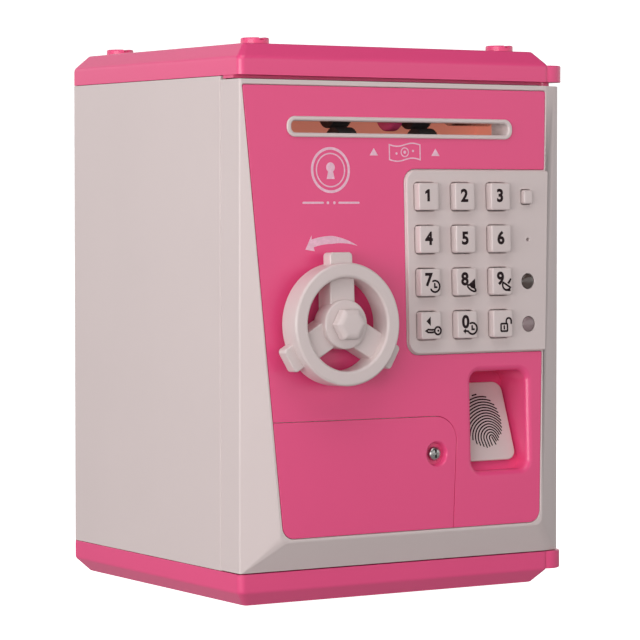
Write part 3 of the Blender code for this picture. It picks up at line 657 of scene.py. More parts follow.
def make_cover():
    low = COVER_BOTTOM
    shoulder = BODY_H - CHAMFER_H
    edge = [(0.2, low), (0.0, low), (0.0, shoulder), (CHAMFER, BODY_H), (CHAMFER + 1.0, BODY_H)]
    cover = loft("cover", case_profile(soft_profile(edge, 0.9)))
    lobe = [(LOBE_R - 0.6, low), (LOBE_R, low), (LOBE_R, shoulder), (LOBE_R - 1.0, shoulder)]
    join(cover, hinge_post("lobe", soft_profile(lobe, 0.5)))
    tip = DOOR_Z1 - PIN_LENGTH
    join(cover, hinge_post("pin", [(PIN_R - 0.5, tip), (PIN_R, tip + 0.5), (PIN_R, low + 2)], 32))

    hollow = []
    inner = WALL + 0.4
    for wall, right, level in ((inner, DOOR_ROOM_X, low - 1), (inner, DOOR_ROOM_X, shoulder - 0.6),
                               (6.0, DOOR_ROOM_X - 1.0, BODY_H - WALL)):
        hollow.append((rect(-HALF_W + wall, HOOD_BACK_Y, right, BACK_Y - wall), level))
    cut(cover, loft("hollow", hollow))
    stop_low = (-HALF_W + 0.6, FRONT_Y + 5.0, DOOR_Z1 + 0.4)
    join(cover, box("dust_stop", stop_low, (HINGE_X - 1.0, HOOD_BACK_Y - 0.4, low + 1)))
    side = HALF_W - WALL - 0.5
    back = BACK_Y - WALL - 0.5
    front = BODY_FRONT_Y + 4
    thick = 1.6
    lip = [(-side, front), (-side + thick, front), (-side + thick, back - thick),
           (side - thick, back - thick), (side - thick, front), (side, front), (side, back), (-side, back)]
    join(cover, prism("lip", lip, low - 1.8, shoulder + 0.8))

    top = BODY_H + STUD_H
    stud = soft_profile([(STUD_R, BODY_H - 1), (STUD_R, top), (STUD_R - 2.0, top)], 0.5, 4)
    notch_w, mouth_w, notch_deep = 1.8, 2.7, 0.9
    for x in (-STUD_X, STUD_X):
        for y in STUD_Y:
            join(cover, turned("stud", stud, (x, y)))
            levels = ((notch_w, -notch_deep), (notch_w, -0.25), (mouth_w, 0.2), (mouth_w, 1.0))
            cut(cover, loft("notch", [(centred(x, y, w, 14), top + level) for w, level in levels]))
    slot = centred(0.0, COIN_SLOT_Y, COIN_SLOT_W, COIN_SLOT_D, 1.2)
    flare = ((0.0, -6.0), (0.0, -0.5), (0.15, -0.2), (0.6, 0.1), (0.6, 3.0))
    cut(cover, loft("coin_slot", [(grown(slot, amount), BODY_H + level) for amount, level in flare]))
    dress(cover, PINK, "case", "top_cover")


# ---- door

def door_plan():
    """Plan of the door block: square front, hinge barrel on the right."""
    left = rounded([(-HALF_W, DOOR_BACK_Y), (-HALF_W, FRONT_Y), (62.0, FRONT_Y)], [0, 0.9, 0])
    return left + arc(HINGE_X, HINGE_Y, BARREL_R, -84, 60, 32) + [(58.6, DOOR_BACK_Y)]


def panel_edge_x(z, side):
    """Side edge of the front panel at height z, on the left (side 0) or the right (side 1)."""
    share = (z - PANEL_BOTTOM[2]) / (PANEL_TOP[2] - PANEL_BOTTOM[2])
    return PANEL_BOTTOM[side] + (PANEL_TOP[side] - PANEL_BOTTOM[side]) * share


def plateau():
    """Raised face of the door, a little larger than the panel that lies in it."""
    rim = 1.0
    side = 0.2
    return [(PANEL_BOTTOM[0] - rim, PANEL_BOTTOM[2] - rim), (PANEL_BOTTOM[1] + rim, PANEL_BOTTOM[2] - rim),
            (PANEL_TOP[1] + side, TILT_Z), (PANEL_TOP[0] - side, TILT_Z)]


def panel_run(gap, notch_gap):
    """Outline of the panel from its bottom right corner, round the keypad, to its top left corner."""
    x0, z0, z1 = KEYPAD_LEFT - notch_gap, KEYPAD_LOW - notch_gap, KEYPAD_HIGH + notch_gap
    return [(PANEL_BOTTOM[1] - gap, PANEL_BOTTOM[2] + gap), (panel_edge_x(z0, 1) - gap, z0), (x0, z0),
            (x0, z1), (panel_edge_x(z1, 1) - gap, z1), (PANEL_TOP[1] - gap, PANEL_TOP[2] - gap),
            (PANEL_TOP[0] + gap, PANEL_TOP[2] - gap)]


def panel_pocket():
    """The shallow pocket of the door that takes the panel and the battery cover."""
    points = [(PANEL_BOTTOM[0], PANEL_BOTTOM[2])] + panel_run(0.0, 0.3)
    return rounded(points, [4.5, 4.5, 0.6, 4.5, 4.5, 0.6, 0.8, 0.8])


def panel_outline():
    seam_z = SEAM_Z + SEAM_GAP
    points = [(SEAM_FOOT_X + SEAM_GAP, PANEL_BOTTOM[2] + PANEL_GAP)] + panel_run(PANEL_GAP, 0.5)
    points += [(panel_edge_x(seam_z, 0) + PANEL_GAP, seam_z), (SEAM_CORNER_X + SEAM_GAP, seam_z - SEAM_DROP)]
    return rounded(points, [0, 4.3, 0.6, 4.7, 4.7, 0.6, 0.8, 0.8, 0, 8.7])


def battery_cover_outline():
    seam_z = SEAM_Z - SEAM_GAP
    bottom = PANEL_BOTTOM[2] + PANEL_GAP
    points = [(PANEL_BOTTOM[0] + PANEL_GAP, bottom), (SEAM_FOOT_X - SEAM_GAP, bottom),
              (SEAM_CORNER_X - SEAM_GAP, seam_z - SEAM_DROP), (panel_edge_x(seam_z, 0) + PANEL_GAP, seam_z)]
    return rounded(points, [4.3, 0, 8.3, 0])


def recess_outline(margin, radius):
    (x0, x1), (z0, z1) = RECESS_X, RECESS_Z
    return rect(x0 - margin, z0 - margin, x1 + margin, z1 + margin, radius)


def below_pad(drop):
    """A block that fills the room deeper than drop under the face of the pad."""
    far = 60.0
    return prism("below", centred(PAD_X, 0.0, far, far), -drop - far, -drop, on_pad)


def flared(name, outline, low, lip, flare, high, place):
    """A cutter whose mouth opens out at 45 degrees, so that the hole it leaves has a broken edge."""
    rise = 0.6
    mouth = grown(outline, flare + rise)
    return loft(name, [(outline, low), (outline, lip - flare), (mouth, lip + rise), (mouth, high)], place)


def softly_mouthed(name, outline, low, radius, place):
    """A cutter that leaves the mouth of its hole with a rounded edge."""
    rings = [(outline, low)]
    steps = 8
    for k in range(steps + 1):
        angle = math.radians(86) * k / steps
        rings.append((grown(outline, radius * (1 - math.cos(angle))), radius * (math.sin(angle) - 1)))
    rings.append((grown(outline, radius), radius))
    return loft(name, rings, place)


def make_door_shell():
    points = [world(x, y, z) for x, y in door_plan() for z in (DOOR_Z0, DOOR_Z1)]
    points += [on_door(x, z, 0.0) for x, z in rounded(plateau(), [3.0, 3.0, 0.5, 0.5], 6)]
    shell = hull("door", points)
    soften(shell, 1.0, 12.0, 60.0, 4)
    soften(shell, 0.35, 60.0)

    inner = [(-49.4, 23.3), (54.4, 23.0), (56.8, 173.4), (-60.4, 173.4)]
    room = [on_door(x, z, -DOOR_WALL) for x, z in inner]
    room += [world(x, y, z) for x in (-HALF_W + WALL, DOOR_ROOM_X)
             for y in (FRONT_Y + WALL + 0.2, DOOR_BACK_Y + 2)
             for z in (DOOR_Z0 + WALL, DOOR_Z1 - WALL)]
    cut(shell, hull("room", room))

    right_low = panel_edge_x(KEYPAD_LOW, 1) + 0.9
    right_high = panel_edge_x(KEYPAD_HIGH, 1) + 0.9
    plate = rounded([(KEYPAD_LEFT, KEYPAD_LOW), (right_low, KEYPAD_LOW), (right_high, KEYPAD_HIGH),
                     (KEYPAD_LEFT, KEYPAD_HIGH)], [4.2, 0.6, 0.6, 4.2])
    cut(shell, flared("pocket", panel_pocket(), -POCKET_T, 0.0, 0.2, 9, on_door))
    join(shell, pill("keypad", plate, -1.3, KEYPAD_PROUD, 0.5, on_door))

    for x, z in DOOR_SCREWS:
        root_y = FRONT_Y + 1.4 - 3.0 * (TILT_Z - z) / TILT_Z
        join(shell, turned("boss", [(3.0, root_y), (3.0, DOOR_BACK_Y - 0.2)], (x, z), along_y, 32))
        cut(shell, turned("hole", [(1.4, FRONT_Y + 4), (1.4, DOOR_BACK_Y + 2)], (x, z), along_y, 20))

    def through(outline, lip=-POCKET_T, flare=0.1):
        cut(shell, flared("through", outline, -6, lip, flare, 9, on_door))

    through(centred(SLOT_X, SLOT_Z, SLOT_W + 2.8, SLOT_H + 2.3, 3.0))
    through(circle(WHEEL_X, WHEEL_Z, SHAFT_R + 0.4, 40))
    through(recess_outline(1.6, 4.6))
    through(rect(-46.0, 27.6, 3.0, 57.2, 1.0))
    through(circle(*BATTERY_SCREW, 6.1, 40))
    through(centred(BUTTON_X, BUTTON_Z, 4.4, 5.4, 0.8), KEYPAD_PROUD, 0.15)
    through(circle(*MIC, 0.6, 20), KEYPAD_PROUD, 0.15)
    for z in LED_Z:
        through(circle(LED_X, z, 2.75, 40), KEYPAD_PROUD, 0.1)
    for x in KEY_X:
        for z in KEY_Z:
            through(centred(x, z, KEY_W + 0.6, KEY_H + 0.6, 1.5), KEYPAD_PROUD, 0.25)
    pin_room = PIN_LENGTH + 0.4
    for low, high in ((DOOR_Z0 - 1, DOOR_Z0 + pin_room), (DOOR_Z1 - pin_room, DOOR_Z1 + 1)):
        cut(shell, hinge_post("pin_hole", [(PIN_R + 0.3, low), (PIN_R + 0.3, high)], 32))
    dress(shell, WHITE, "door", "door_shell", sharp=32.0)


def make_front_panel():
    panel = pill("panel", panel_outline(), -PANEL_T, 0.0, PANEL_ROUND, on_door, 3)
    floor_drop, floor_t = 1.6, 1.4
    well = prism("well", recess_outline(1.2, 4.4), -21.0, -0.4, on_door)
    cut(well, below_pad(floor_drop + floor_t))
    join(panel, well)
    room = softly_mouthed("room", recess_outline(0.0, 3.6), -26.0, 2.0, on_door)
    cut(room, below_pad(floor_drop))
    cut(panel, room)
    cut(panel, prism("pad_hole", centred(PAD_X, 0.0, PAD_W - 1.0, PAD_L - 1.0, 3.2), -6.0, 2.0, on_pad))
    cut(panel, prism("slot", centred(SLOT_X, SLOT_Z, SLOT_W + 2.6, SLOT_H + 2.1, 2.9), -3, 3, on_door))
    cut(panel, prism("shaft", circle(WHEEL_X, WHEEL_Z, SHAFT_R + 0.6, 40), -3, 3, on_door))
    dress(panel, PINK, "door", "front_panel")


def make_bezel():
    outer = centred(SLOT_X, SLOT_Z, SLOT_W + 3.4, SLOT_H + 2.9, 3.2, 12)
    rim = pill("note_slot_rim", outer, 0.15, 0.8, 0.5, on_door)
    tube = centred(SLOT_X, SLOT_Z, SLOT_W + 2.0, SLOT_H + 1.6, 2.6, 12)
    join(rim, prism("tube", tube, -3.4, 0.4, on_door))
    for side in (-1, 1):
        x = SLOT_X + side * (SLOT_W / 2 + 0.45)
        join(rim, prism("cheek", centred(x, SLOT_Z, 1.0, SLOT_H + 0.6), -9.5, -3.0, on_door))
    mouth = centred(SLOT_X, SLOT_Z, SLOT_W, SLOT_H, 1.7, 12)
    cut(rim, flared("mouth", mouth, -12, 0.8, 0.4, 4, on_door))
    dress(rim, WHITE_GLOSSY, "door", "note_slot_bezel")


def make_battery_parts():
    cover = pill("battery_door", battery_cover_outline(), -PANEL_T, 0.0, PANEL_ROUND, on_door, 3)
    join(cover, prism("cup", circle(*BATTERY_SCREW, 5.6, 48), -4.2, -0.5, on_door))
    dish = [(3.6, -2.2), (4.0, -0.8), (4.15, -0.3), (4.5, 0.0), (4.9, 0.1), (4.9, 2.0)]
    cut(cover, turned("dish", dish, BATTERY_SCREW, on_door, 48))
    cut(cover, prism("hole", circle(*BATTERY_SCREW, 1.8, 32), -6, 1, on_door))
    dress(cover, PINK, "door", "battery_cover")

    shank = [(0.4, -10.5), (1.4, -9.0), (1.4, -2.1)]
    head = [(2.4, -2.1), (2.4, -1.4), (2.1, -1.0), (1.4, -0.72), (0.5, -0.66)]
    screw = turned("battery_screw", shank + head, BATTERY_SCREW, on_door, 40)
    cross_w, cross_l = 0.85, 3.0
    for w, h in ((cross_w, cross_l), (cross_l, cross_w)):
        levels = ((0.6, -1.8), (1.0, -0.6), (1.0, 0.5))
        cut(screw, loft("cross", [(centred(*BATTERY_SCREW, w * share, h * share), level)
                                  for share, level in levels], on_door))
    dress(screw, STEEL, "door", "battery_cover_screw")


# ---- keys

def make_key(node, body, x, z, w, h, top, corner):
    """A key with a flange under the plate, straight sides and a softly rounded, slightly crowned top."""
    outline = centred(x, z, w, h, corner, 6)
    mount = centred(x, z, w + 2 * KEY_FLANGE, h + 2 * KEY_FLANGE, corner, 6)
    crown = 0.08
    rings = [(mount, -4.0), (mount, -3.0), (outline, -3.0)]
    rings += fillet_rings(outline, top - crown, 0.5, 5)
    rings.append((centred(x, z, w * 0.5, h * 0.5, corner * 0.5, 6), top))
    key = loft(node + "_top", rings, on_door)
    dress(key, WHITE_GLOSSY, body, node, sharp=50.0)


def key_places():
    """Name and place of each of the twelve keys."""
    return [("key_" + name, x, z) for row, z in zip(KEY_ROWS, KEY_Z) for name, x in zip(row.split(), KEY_X)]


def make_keys():
    for name, x, z in key_places():
        make_key(name, name + "_cap", x, z, KEY_W, KEY_H, KEY_TOP, 0.8)
    make_key("mode_button", "mode_cap", BUTTON_X, BUTTON_Z, 3.8, 4.8, KEYPAD_PROUD + 1.7, 0.6)


def make_lamps():
    profile = [(2.9, -6.4), (2.9, -5.4), (2.66, -5.4), (2.66, 0.4), (2.6, 0.62), (2.4, 0.9), (2.0, 1.1),
               (1.4, 1.25), (0.7, 1.32), (0.2, 1.33)]
    for name, z, material in (("led_red", LED_Z[0], RED_LENS), ("led_green", LED_Z[1], GREEN_LENS)):
        lamp = turned(name + "_lens", profile, (LED_X, z), on_door, 40)
        dress(lamp, material, "door", name)


def make_pad():
    outline = centred(PAD_X, 0.0, PAD_W, PAD_L, 3.6)
    stem = centred(PAD_X, 0.0, PAD_W - 2.2, PAD_L - 2.2, 2.6)
    rings = [(stem, -4.6), (stem, -0.75), (outline, -0.75)] + fillet_rings(outline, 0.0, 0.4, 4)
    pad = loft("finger_pad", rings, on_pad)
    dress(pad, WHITE_GLOSSY, "pad", "fingerprint_pad")


# ---- handwheel

def swung(outline, angle):
    return [(a * math.cos(angle) - b * math.sin(angle), a * math.sin(angle) + b * math.cos(angle))
            for a, b in outline]


def make_handwheel():
    low, high, edge = 3.0, 12.3, 1.0
    corners = [(WHEEL_INNER_R, low), (WHEEL_R, low), (WHEEL_R, high), (WHEEL_INNER_R, high)]
    section = rounded(corners, [0.5, 0.8, edge, edge], 6)
    wheel = ring_solid("wheel_rim", section, wheel_plane, 128)
    hub = soft_profile([(6.8, 1.2), (8.3, 4.0), (8.3, 11.0), (5.0, 11.0)], 0.7)
    join(wheel, turned("hub", hub, place=wheel_plane, steps=64))
    for third in range(3):
        angle = math.radians(90 + 120 * third)
        arm = swung(rect(3.0, -4.8, 17.5, 4.8), angle)
        join(wheel, pill("arm", arm, 1.4, 9.0, 0.5, wheel_plane, 3))
        tab = swung(rect(18.5, -4.45, 24.1, 4.45, 1.4), angle)
        join(wheel, pill("tab", tab, 4.0, 8.6, 0.5, wheel_plane, 3, True))
    cut(wheel, turned("bore", [(SHAFT_R + 0.25, 0), (SHAFT_R + 0.25, 8.6)], place=wheel_plane, steps=40))
    dress(wheel, WHITE_GLOSSY, "wheel", "handwheel")

    dome = [(5.8, 11.3), (5.8, 13.4), (5.7, 13.8), (5.45, 14.2), (5.0, 14.6), (4.2, 14.95), (3.2, 15.1)]
    rings = [(rounded(circle(0.0, 0.0, r, 6), 0.09 * r, 3), level) for r, level in dome]
    cap = loft("wheel_cap", rings, wheel_plane)
    dress(cap, WHITE_GLOSSY, "wheel", "handwheel_cap", sharp=50.0)


# ---- note feed

def roller_bore(y, z, low, high):
    return turned("bore", [(ROLLER_BORE_R, low), (ROLLER_BORE_R, high)], (y, z), along_x, 24)


def make_rollers():
    """Two shafts with two ridged rubber rollers each, and a plain wheel on the upper one."""
    points = 4 * ROLLER_RIDGES
    for kind, (y, z) in (("drive", DRIVE_YZ), ("idler", IDLER_YZ)):
        outline = [polar(y, z, ROLLER_R - (0.0 if i % 4 < 2 else RIDGE_H), 2 * math.pi * i / points)
                   for i in range(points)]
        for side, x in zip(("left", "right"), ROLLER_X):
            low, high = x - ROLLER_W / 2, x + ROLLER_W / 2
            roller = pill("%s_tyre_%s" % (kind, side), outline, low, high, 0.15, along_x, 2, True)
            cut(roller, roller_bore(y, z, x - 9, x + 9))
            dress(roller, RUBBER, kind + "_roll", "%s_roller_%s" % (kind, side))
    profile = soft_profile([(5.0, 2.8), (6.4, 3.2), (6.4, 7.0), (5.0, 7.4)], 0.9)
    disc = turned("feed_wheel", profile, DRIVE_YZ, along_x, 64)
    cut(disc, roller_bore(*DRIVE_YZ, 0, 12))
    dress(disc, PINK, "drive_roll", "feed_disc")


# ---- printed marks

class Print:
    """Thin ink on one face, at one level of it: filled outlines and lines of even width."""

    def __init__(self, place, level):
        self.bm = bmesh.new()
        self.place = place
        self.level = level

    def loop(self, outline, rise):
        return [self.bm.verts.new(self.place(a, b, self.level + rise) * MM) for a, b in outline]

    def skirt(self, here, there):
        for i in range(len(here)):
            j = (i + 1) % len(here)
            self.bm.faces.new((here[i], here[j], there[j], there[i]))

    def fill(self, outline):
        low = self.loop(outline, 0.0)
        high = self.loop(outline, INK_T)
        self.skirt(low, high)
        self.bm.faces.new(low)
        self.bm.faces.new(high)

    def ring(self, outer, inner):
        levels = ((outer, 0.0), (outer, INK_T), (inner, INK_T), (inner, 0.0))
        loops = [self.loop(shape, rise) for shape, rise in levels]
        for here, there in zip(loops, loops[1:] + loops[:1]):
            self.skirt(here, there)

    def line(self, path, width=SYMBOL_LINE, closed=False):
        """A line along a path, closed or with round ends."""
        half = width / 2
        points = [Vector(p) for p in path]
        count = len(points)
        sides = ([], [])
        for i, point in enumerate(points):
            along_in = (point - points[i - 1]).normalized()
            along_out = (points[(i + 1) % count] - point).normalized()
            if not closed and i == 0:
                along_in = along_out
            if not closed and i == count - 1:
                along_out = along_in
            n_in = Vector((along_in.y, -along_in.x))
            n_out = Vector((along_out.y, -along_out.x))
            offset = (n_in + n_out) * (half / max(0.4, 1 + n_in.dot(n_out)))
            sides[0].append(point + offset)
            sides[1].append(point - offset)
        if closed:
            self.ring(*sides)
            return
        outline = list(sides[0])
        for end, sign in ((points[-1], 1), (points[0], -1)):
            edge = (sides[0][-1] if sign == 1 else sides[1][0]) - end
            for k in range(1, 6):
                spoke = edge.copy()
                spoke.rotate(Matrix.Rotation(math.pi * k / 6, 2))
                outline.append(end + spoke)
            if sign == 1:
                outline += sides[1][::-1]
        self.fill(outline)

    def piece(self, name, material, body):
        """Turns the print into a piece that rides on a body."""
        piece = finish_mesh(name, self.bm)
        piece.data.materials.append(material)
        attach(piece, body)


def digit(ink, text, x, z):
    """A printed numeral, its middle at x, z."""
    height = 4.2
    half = height / 2
    if text == "1":
        stem = [(-0.42, -half), (0.62, -half), (0.62, half), (-0.1, half)]
        flag = [(-1.25, half - 0.8), (-1.25, half - 1.65), (-0.42, half - 1.3)]
        ink.fill(shifted(stem + flag, x, z))
        return
    curve = bpy.data.curves.new("digit", "FONT")
    curve.body = text
    curve.align_x = "CENTER"
    curve.size = height / 0.70
    curve.offset = 0.038 * curve.size
    curve.extrude = INK_T / 2
    curve.resolution_u = 6
    holder = bpy.data.objects.new("digit", curve)
    bpy.context.collection.objects.link(holder)
    depsgraph = bpy.context.evaluated_depsgraph_get()
    mesh = bpy.data.meshes.new_from_object(holder.evaluated_get(depsgraph))
    start = len(ink.bm.verts)
    ink.bm.from_mesh(mesh)
    ink.bm.verts.ensure_lookup_table()
    added = ink.bm.verts[start:]
    for vert in added:
        a, b, c = vert.co
        vert.co = ink.place(x + a, z + b - half, ink.level + INK_T / 2 + c) * MM
    bmesh.ops.remove_doubles(ink.bm, verts=added, dist=0.001 * MM)
    bpy.data.objects.remove(holder)
    bpy.data.curves.remove(curve)
    bpy.data.meshes.remove(mesh)


def clock(ink, x, z):
    ink.line(arc(x, z, 1.95, -150, 115, 28))
    ink.line(shifted([(-0.1, 0.9), (-0.1, -0.3), (0.7, -0.3)], x, z))


def clock_and_arrow(ink, x, z):
    clock(ink, x, z)
    ink.line(shifted([(-1.7, -0.95), (-3.1, -0.75)], x, z))
    ink.fill(shifted([(-3.9, -0.85), (-2.8, -1.8), (-2.7, 0.1)], x, z))


def bell(ink, x, z):
    """A little bell seen tilted, pointing up to the right."""
    ink.fill(shifted([(1.45, 2.1), (-1.2, 0.1), (-0.3, -1.0), (0.9, -1.4), (1.6, -1.5)], x, z))
    mouth = [(1.7 * a, 0.8 * b - 0.8 * a - 1.2) for a, b in circle(0.0, 0.0, 1.0, 20)]
    ink.line(shifted(mouth, x, z), closed=True)


def dish(ink, x, z):
    """A small dish on a stand."""
    ink.line(arc(x - 0.2, z - 0.3, 1.75, 150, 330, 16))
    ink.line(shifted([(-1.7, 0.6), (1.35, -1.2)], x, z))
    ink.fill(shifted([(0.0, 0.4), (1.4, 2.0), (1.9, 1.7), (0.8, -0.1)], x, z))
    ink.line(shifted([(-0.6, -2.1), (1.1, -2.2)], x, z))


def key_and_triangle(ink, x, z):
    ink.fill(shifted([(-2.9, 3.3), (-1.1, 4.9), (-1.1, 1.7)], x, z))
    ink.line(circle(x + 1.8, z, 1.3, 24), closed=True)
    shank = [(0.5, 0.4), (-0.7, 0.35), (-2.2, 0.5), (-3.0, 0.0), (-2.2, -0.5), (-0.7, -0.55), (0.5, -0.4)]
    ink.line(shifted(shank, x, z))
    ink.fill(circle(x + 1.95, z, 0.4, 12))


def padlock(ink, x, z):
    """An open padlock: body, shackle swung to the right and a keyhole."""
    ink.line(rect(x - 1.5, z - 1.6, x + 1.2, z + 1.0, 0.3, 3), closed=True)
    shackle = [(0.75, 1.0), (0.75, 1.9)] + arc(1.8, 1.9, 1.05, 180, 0, 12) + [(2.85, 1.1)]
    ink.line(shifted(shackle, x, z))
    ink.line(shifted([(-0.15, 0.15), (-0.15, -0.75)], x, z))


SYMBOLS = {
    "key_7": (clock, 1.65, -1.35),
    "key_8": (bell, 1.9, -1.0),
    "key_9": (dish, 1.9, -1.0),
    "key_0": (clock_and_arrow, 1.85, -1.35),
    "key_back": (key_and_triangle, 0.7, -1.8),
    "key_unlock": (padlock, 0.45, -1.0),
}


def mark_keys():
    """A number, a symbol or both on every key; a number makes room for its symbol."""
    for name, x, z in key_places():
        ink = Print(on_door, KEY_TOP - INK_SINK)
        number = name[len("key_"):]
        if number.isdigit():
            right, up = (-0.9, 1.1) if name in SYMBOLS else (-0.4, 0.4)
            digit(ink, number, x + right, z + up)
        if name in SYMBOLS:
            draw, right, up = SYMBOLS[name]
            draw(ink, x + right, z + up)
        ink.piece(name + "_print", DARK_INK, name + "_cap")


def banknote(ink, x, z):
    """A waving banknote: outline, plain ring with a dot in it, and a dot on each side."""
    half_w, half_h, wave, steps = 6.3, 2.55, 0.55, 24
    top = []
    for k in range(steps + 1):
        share = k / steps
        height = half_h + wave * math.sin(2 * math.pi * (share - 0.5))
        top.append((x - half_w + 2 * half_w * share, z + height))
    bottom = shifted(top, 0.0, -2 * half_h)
    ink.line(top + bottom[::-1], 0.42, closed=True)
    ink.line(circle(x, z, 1.5, 32), 0.36, closed=True)
    ink.fill(circle(x, z, 0.55, 20))
    for side in (-1, 1):
        ink.fill(circle(x + side * 3.4, z + side * 0.45, 0.42, 16))


def turn_arrow(ink, x, z, r):
    """An arrow along an arc round x, z: the head on the left, the tail thinning out to the right."""
    half_width, barb = 1.35, 2.7
    steps, tail_steps = 28, 16
    outer, inner = [], []
    for k in range(steps + 1):
        angle = math.radians(107 - 40 * k / steps)
        half = half_width * min(1.0, (steps - k) / tail_steps)
        outer.append(polar(x, z, r + half, angle))
        inner.append(polar(x, z, r - half, angle))
    head = [polar(x, z, r - barb, math.radians(107)), polar(x, z, r - 0.9, math.radians(114.5)),
            polar(x, z, r + barb, math.radians(106))]
    ink.fill(outer + inner[-2::-1] + head)


def badge(ink, x, z):
    """A plain round badge with a keyhole, and a broken line under it."""
    ink.line(circle(x, z, 7.3, 64), 0.9, closed=True)
    ink.line(circle(x, z, 5.6, 48), 0.45, closed=True)
    ink.fill(arc(x, z + 0.9, 1.7, -55, 235, 28) + [(x - 1.6, z - 3.0), (x + 1.6, z - 3.0)])
    low = z - 11.0
    for side in (-1, 1):
        ink.line([(x + side * 3.2, low), (x + side * 11.0, low)], 0.7)
        ink.fill(circle(x + side * 1.3, low, 0.5, 16))


def mark_panel():
    """White print on the panel: triangles and a banknote, an arrow over the wheel and a round badge."""
    ink = Print(on_door, -INK_SINK)
    for x in (-11.2, 14.1):
        ink.fill([(x - 1.7, 150.85), (x + 1.7, 150.85), (x, 153.4)])
    banknote(ink, 1.45, 152.05)
    turn_arrow(ink, BADGE_X, 96.0, 26.3)
    badge(ink, BADGE_X, 145.8)
    ink.piece("panel_print", WHITE_INK, "door")


def mark_pad():
    """Dark ridges of a fingerprint: arches nested round a low core, inside an oval."""
    ink = Print(on_pad, -INK_SINK)
    core = Vector((PAD_X + 2.7, -6.2))
    lean = math.radians(17)
    oval_middle = Vector((PAD_X + 0.1, 0.0))
    oval_half = Vector((7.8, 9.8))
    pitch, width = 1.02, 0.5
    leg = 13.0
    spread_left, spread_right = 1.17, 0.84

    def arch(k):
        """Left leg, arch and right leg of the ridge k pitches from the core."""
        reach = pitch * k
        path = [(-spread_left * reach - 0.08 * s, -s) for s in (leg, 0.75 * leg, 0.5 * leg, 0.25 * leg)]
        for step in range(31):
            turn = math.pi * (1 - step / 30)
            spread = spread_left if turn > math.pi / 2 else spread_right
            path.append((spread * reach * math.cos(turn), reach * math.sin(turn)))
        path += [(spread_right * reach + 0.12 * s, -s) for s in (0.25 * leg, 0.5 * leg, 0.75 * leg, leg)]
        return path

    def leaning(path):
        """The path turned by the lean of the core and cut into short steps."""
        turned_path = []
        for (a0, b0), (a1, b1) in zip(path, path[1:]):
            for t in (0.0, 0.25, 0.5, 0.75):
                point = Vector((a0 + (a1 - a0) * t, b0 + (b1 - b0) * t))
                point.rotate(Matrix.Rotation(lean, 2))
                turned_path.append(core + point)
        return turned_path

    def inside(point):
        away = point - oval_middle
        return (away.x / oval_half.x) ** 2 + (away.y / oval_half.y) ** 2 < 1.0

    inmost = [(0.0, 0.2), (0.15, -1.5), (0.3, -3.0)]
    far_off = core + 10 * oval_half
    for ridge in [inmost] + [arch(k) for k in range(1, 18)]:
        run = []
        for point in leaning(ridge) + [far_off]:
            if inside(point):
                run.append(point)
                continue
            if len(run) > 2:
                ink.line(run, width)
            run = []
    ink.piece("finger_print", DARK_INK, "pad")


# ---- CAD pieces that keep their own mesh

def dress_cad_nodes():
    slots = {part["node"]: part["material_slot"] for part in frame["record"]["subparts"]}
    for name, node in frame["nodes"].items():
        if node.hide_render:
            continue
        node.data.materials.clear()
        node.data.materials.append(FINISHES[slots[name]][0])


# ---- studio

# Here places and sizes are in metres.
CAMERA_AT = (-0.5565, -0.8997, 0.1364)
CAMERA_PITCH = math.radians(88.111)
CAMERA_TURN = math.radians(-31.965)
LENS = 165.5
SHIFT_Y = -0.039
SKY_LEVELS = ((-0.06, 0.34), (0.02, 1.12), (0.26, 1.12), (0.36, 0.04))  # height in the sky and brightness


def softbox(name, at, aim_z, width, height, power):
    """A rectangular lamp aimed at a height on the Z axis."""
    data = bpy.data.lights.new(name, "AREA")
    data.shape = "RECTANGLE"
    data.size = width
    data.size_y = height
    data.energy = power
    lamp = bpy.data.objects.new(name, data)
    lamp.location = at
    lamp.rotation_euler = (Vector((0.0, 0.0, aim_z)) - Vector(at)).to_track_quat("-Z", "Y").to_euler()
    bpy.context.collection.objects.link(lamp)


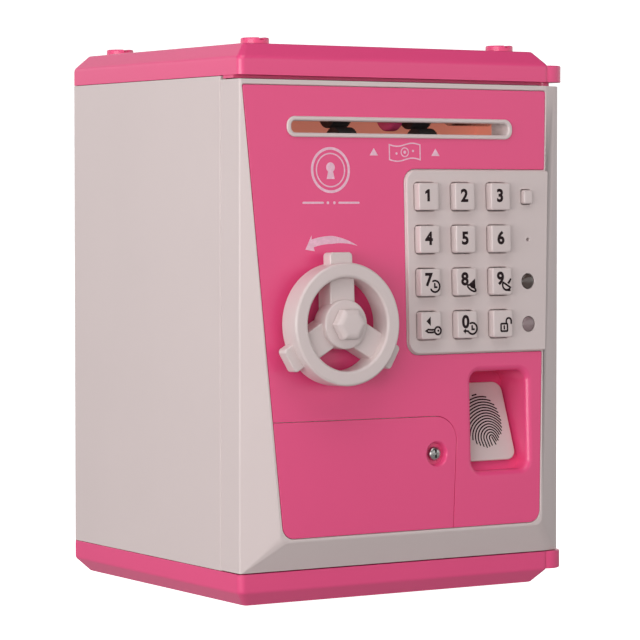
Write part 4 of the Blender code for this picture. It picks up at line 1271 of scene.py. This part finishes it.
def make_sky():
    """A soft surround that is brightest just over the horizon; the camera itself sees plain white."""
    sky = bpy.data.worlds.new("studio")
    bpy.context.scene.world = sky
    sky.use_nodes = True
    tree = sky.node_tree
    link = tree.links.new
    coordinates = tree.nodes.new("ShaderNodeTexCoord")
    split = tree.nodes.new("ShaderNodeSeparateXYZ")
    link(coordinates.outputs["Generated"], split.inputs["Vector"])
    height = tree.nodes.new("ShaderNodeMapRange")
    set_inputs(height, From_Min=-1.0, From_Max=1.0)
    link(split.outputs["Z"], height.inputs["Value"])
    ramp = tree.nodes.new("ShaderNodeValToRGB")
    stops = ramp.color_ramp.elements
    while len(stops) < len(SKY_LEVELS):
        stops.new(1.0)
    brightest = max(level for _, level in SKY_LEVELS)
    for stop, (z, level) in zip(stops, SKY_LEVELS):
        stop.position = (z + 1) / 2
        share = level / brightest
        stop.color = (share, share, share, 1.0)
    link(height.outputs["Result"], ramp.inputs["Fac"])
    fill = tree.nodes["Background"]
    set_inputs(fill, Strength=brightest)
    link(ramp.outputs["Color"], fill.inputs["Color"])
    seen = tree.nodes.new("ShaderNodeBackground")
    set_inputs(seen, Color=(1.0, 1.0, 1.0, 1.0), Strength=1.2)
    path = tree.nodes.new("ShaderNodeLightPath")
    mix = tree.nodes.new("ShaderNodeMixShader")
    link(path.outputs["Is Camera Ray"], mix.inputs["Fac"])
    link(fill.outputs["Background"], mix.inputs[1])
    link(seen.outputs["Background"], mix.inputs[2])
    link(mix.outputs["Shader"], tree.nodes["World Output"].inputs["Surface"])


def make_studio():
    bm = bmesh.new()
    bmesh.ops.create_grid(bm, x_segments=1, y_segments=1, size=4.0)
    floor = finish_mesh("floor", bm)
    floor.location.z = -0.0005
    look = Shader("floor_paper", (0.95, 0.95, 0.95), 0.9)
    set_inputs(look.shader, Emission_Color=(1.0, 1.0, 1.0, 1.0), Emission_Strength=1.1)
    floor.data.materials.append(look.material)
    floor.visible_diffuse = False
    floor.visible_glossy = False

    make_sky()
    softbox("left_softbox", (-1.3, -0.55, 0.75), 0.1, 1.0, 1.2, 2.9)
    softbox("low_left_softbox", (-1.1, -0.6, 0.12), 0.08, 1.2, 0.3, 7.2)
    softbox("top_softbox", (-0.2, -0.5, 1.5), 0.1, 1.4, 1.0, 3.4)
    softbox("near_top_softbox", (-0.25, -0.5, 0.75), 0.15, 0.6, 0.4, 1.4)
    softbox("back_softbox", (0.0, 1.5, 1.0), 0.1, 1.4, 1.2, 3.2)

    data = bpy.data.cameras.new("camera")
    data.lens = LENS
    data.sensor_width = 36.0
    data.shift_y = SHIFT_Y
    data.clip_start = 0.05
    data.clip_end = 20.0
    camera = bpy.data.objects.new("camera", data)
    camera.location = CAMERA_AT
    camera.rotation_euler = (CAMERA_PITCH, 0.0, CAMERA_TURN)
    bpy.context.collection.objects.link(camera)
    bpy.context.scene.camera = camera
    bpy.context.scene.view_settings.view_transform = "Standard"


make_base()
make_body()
make_cover()
make_door_shell()
make_front_panel()
make_bezel()
make_battery_parts()
make_keys()
make_lamps()
make_pad()
make_handwheel()
make_rollers()
mark_keys()
mark_panel()
mark_pad()
dress_cad_nodes()
make_studio()
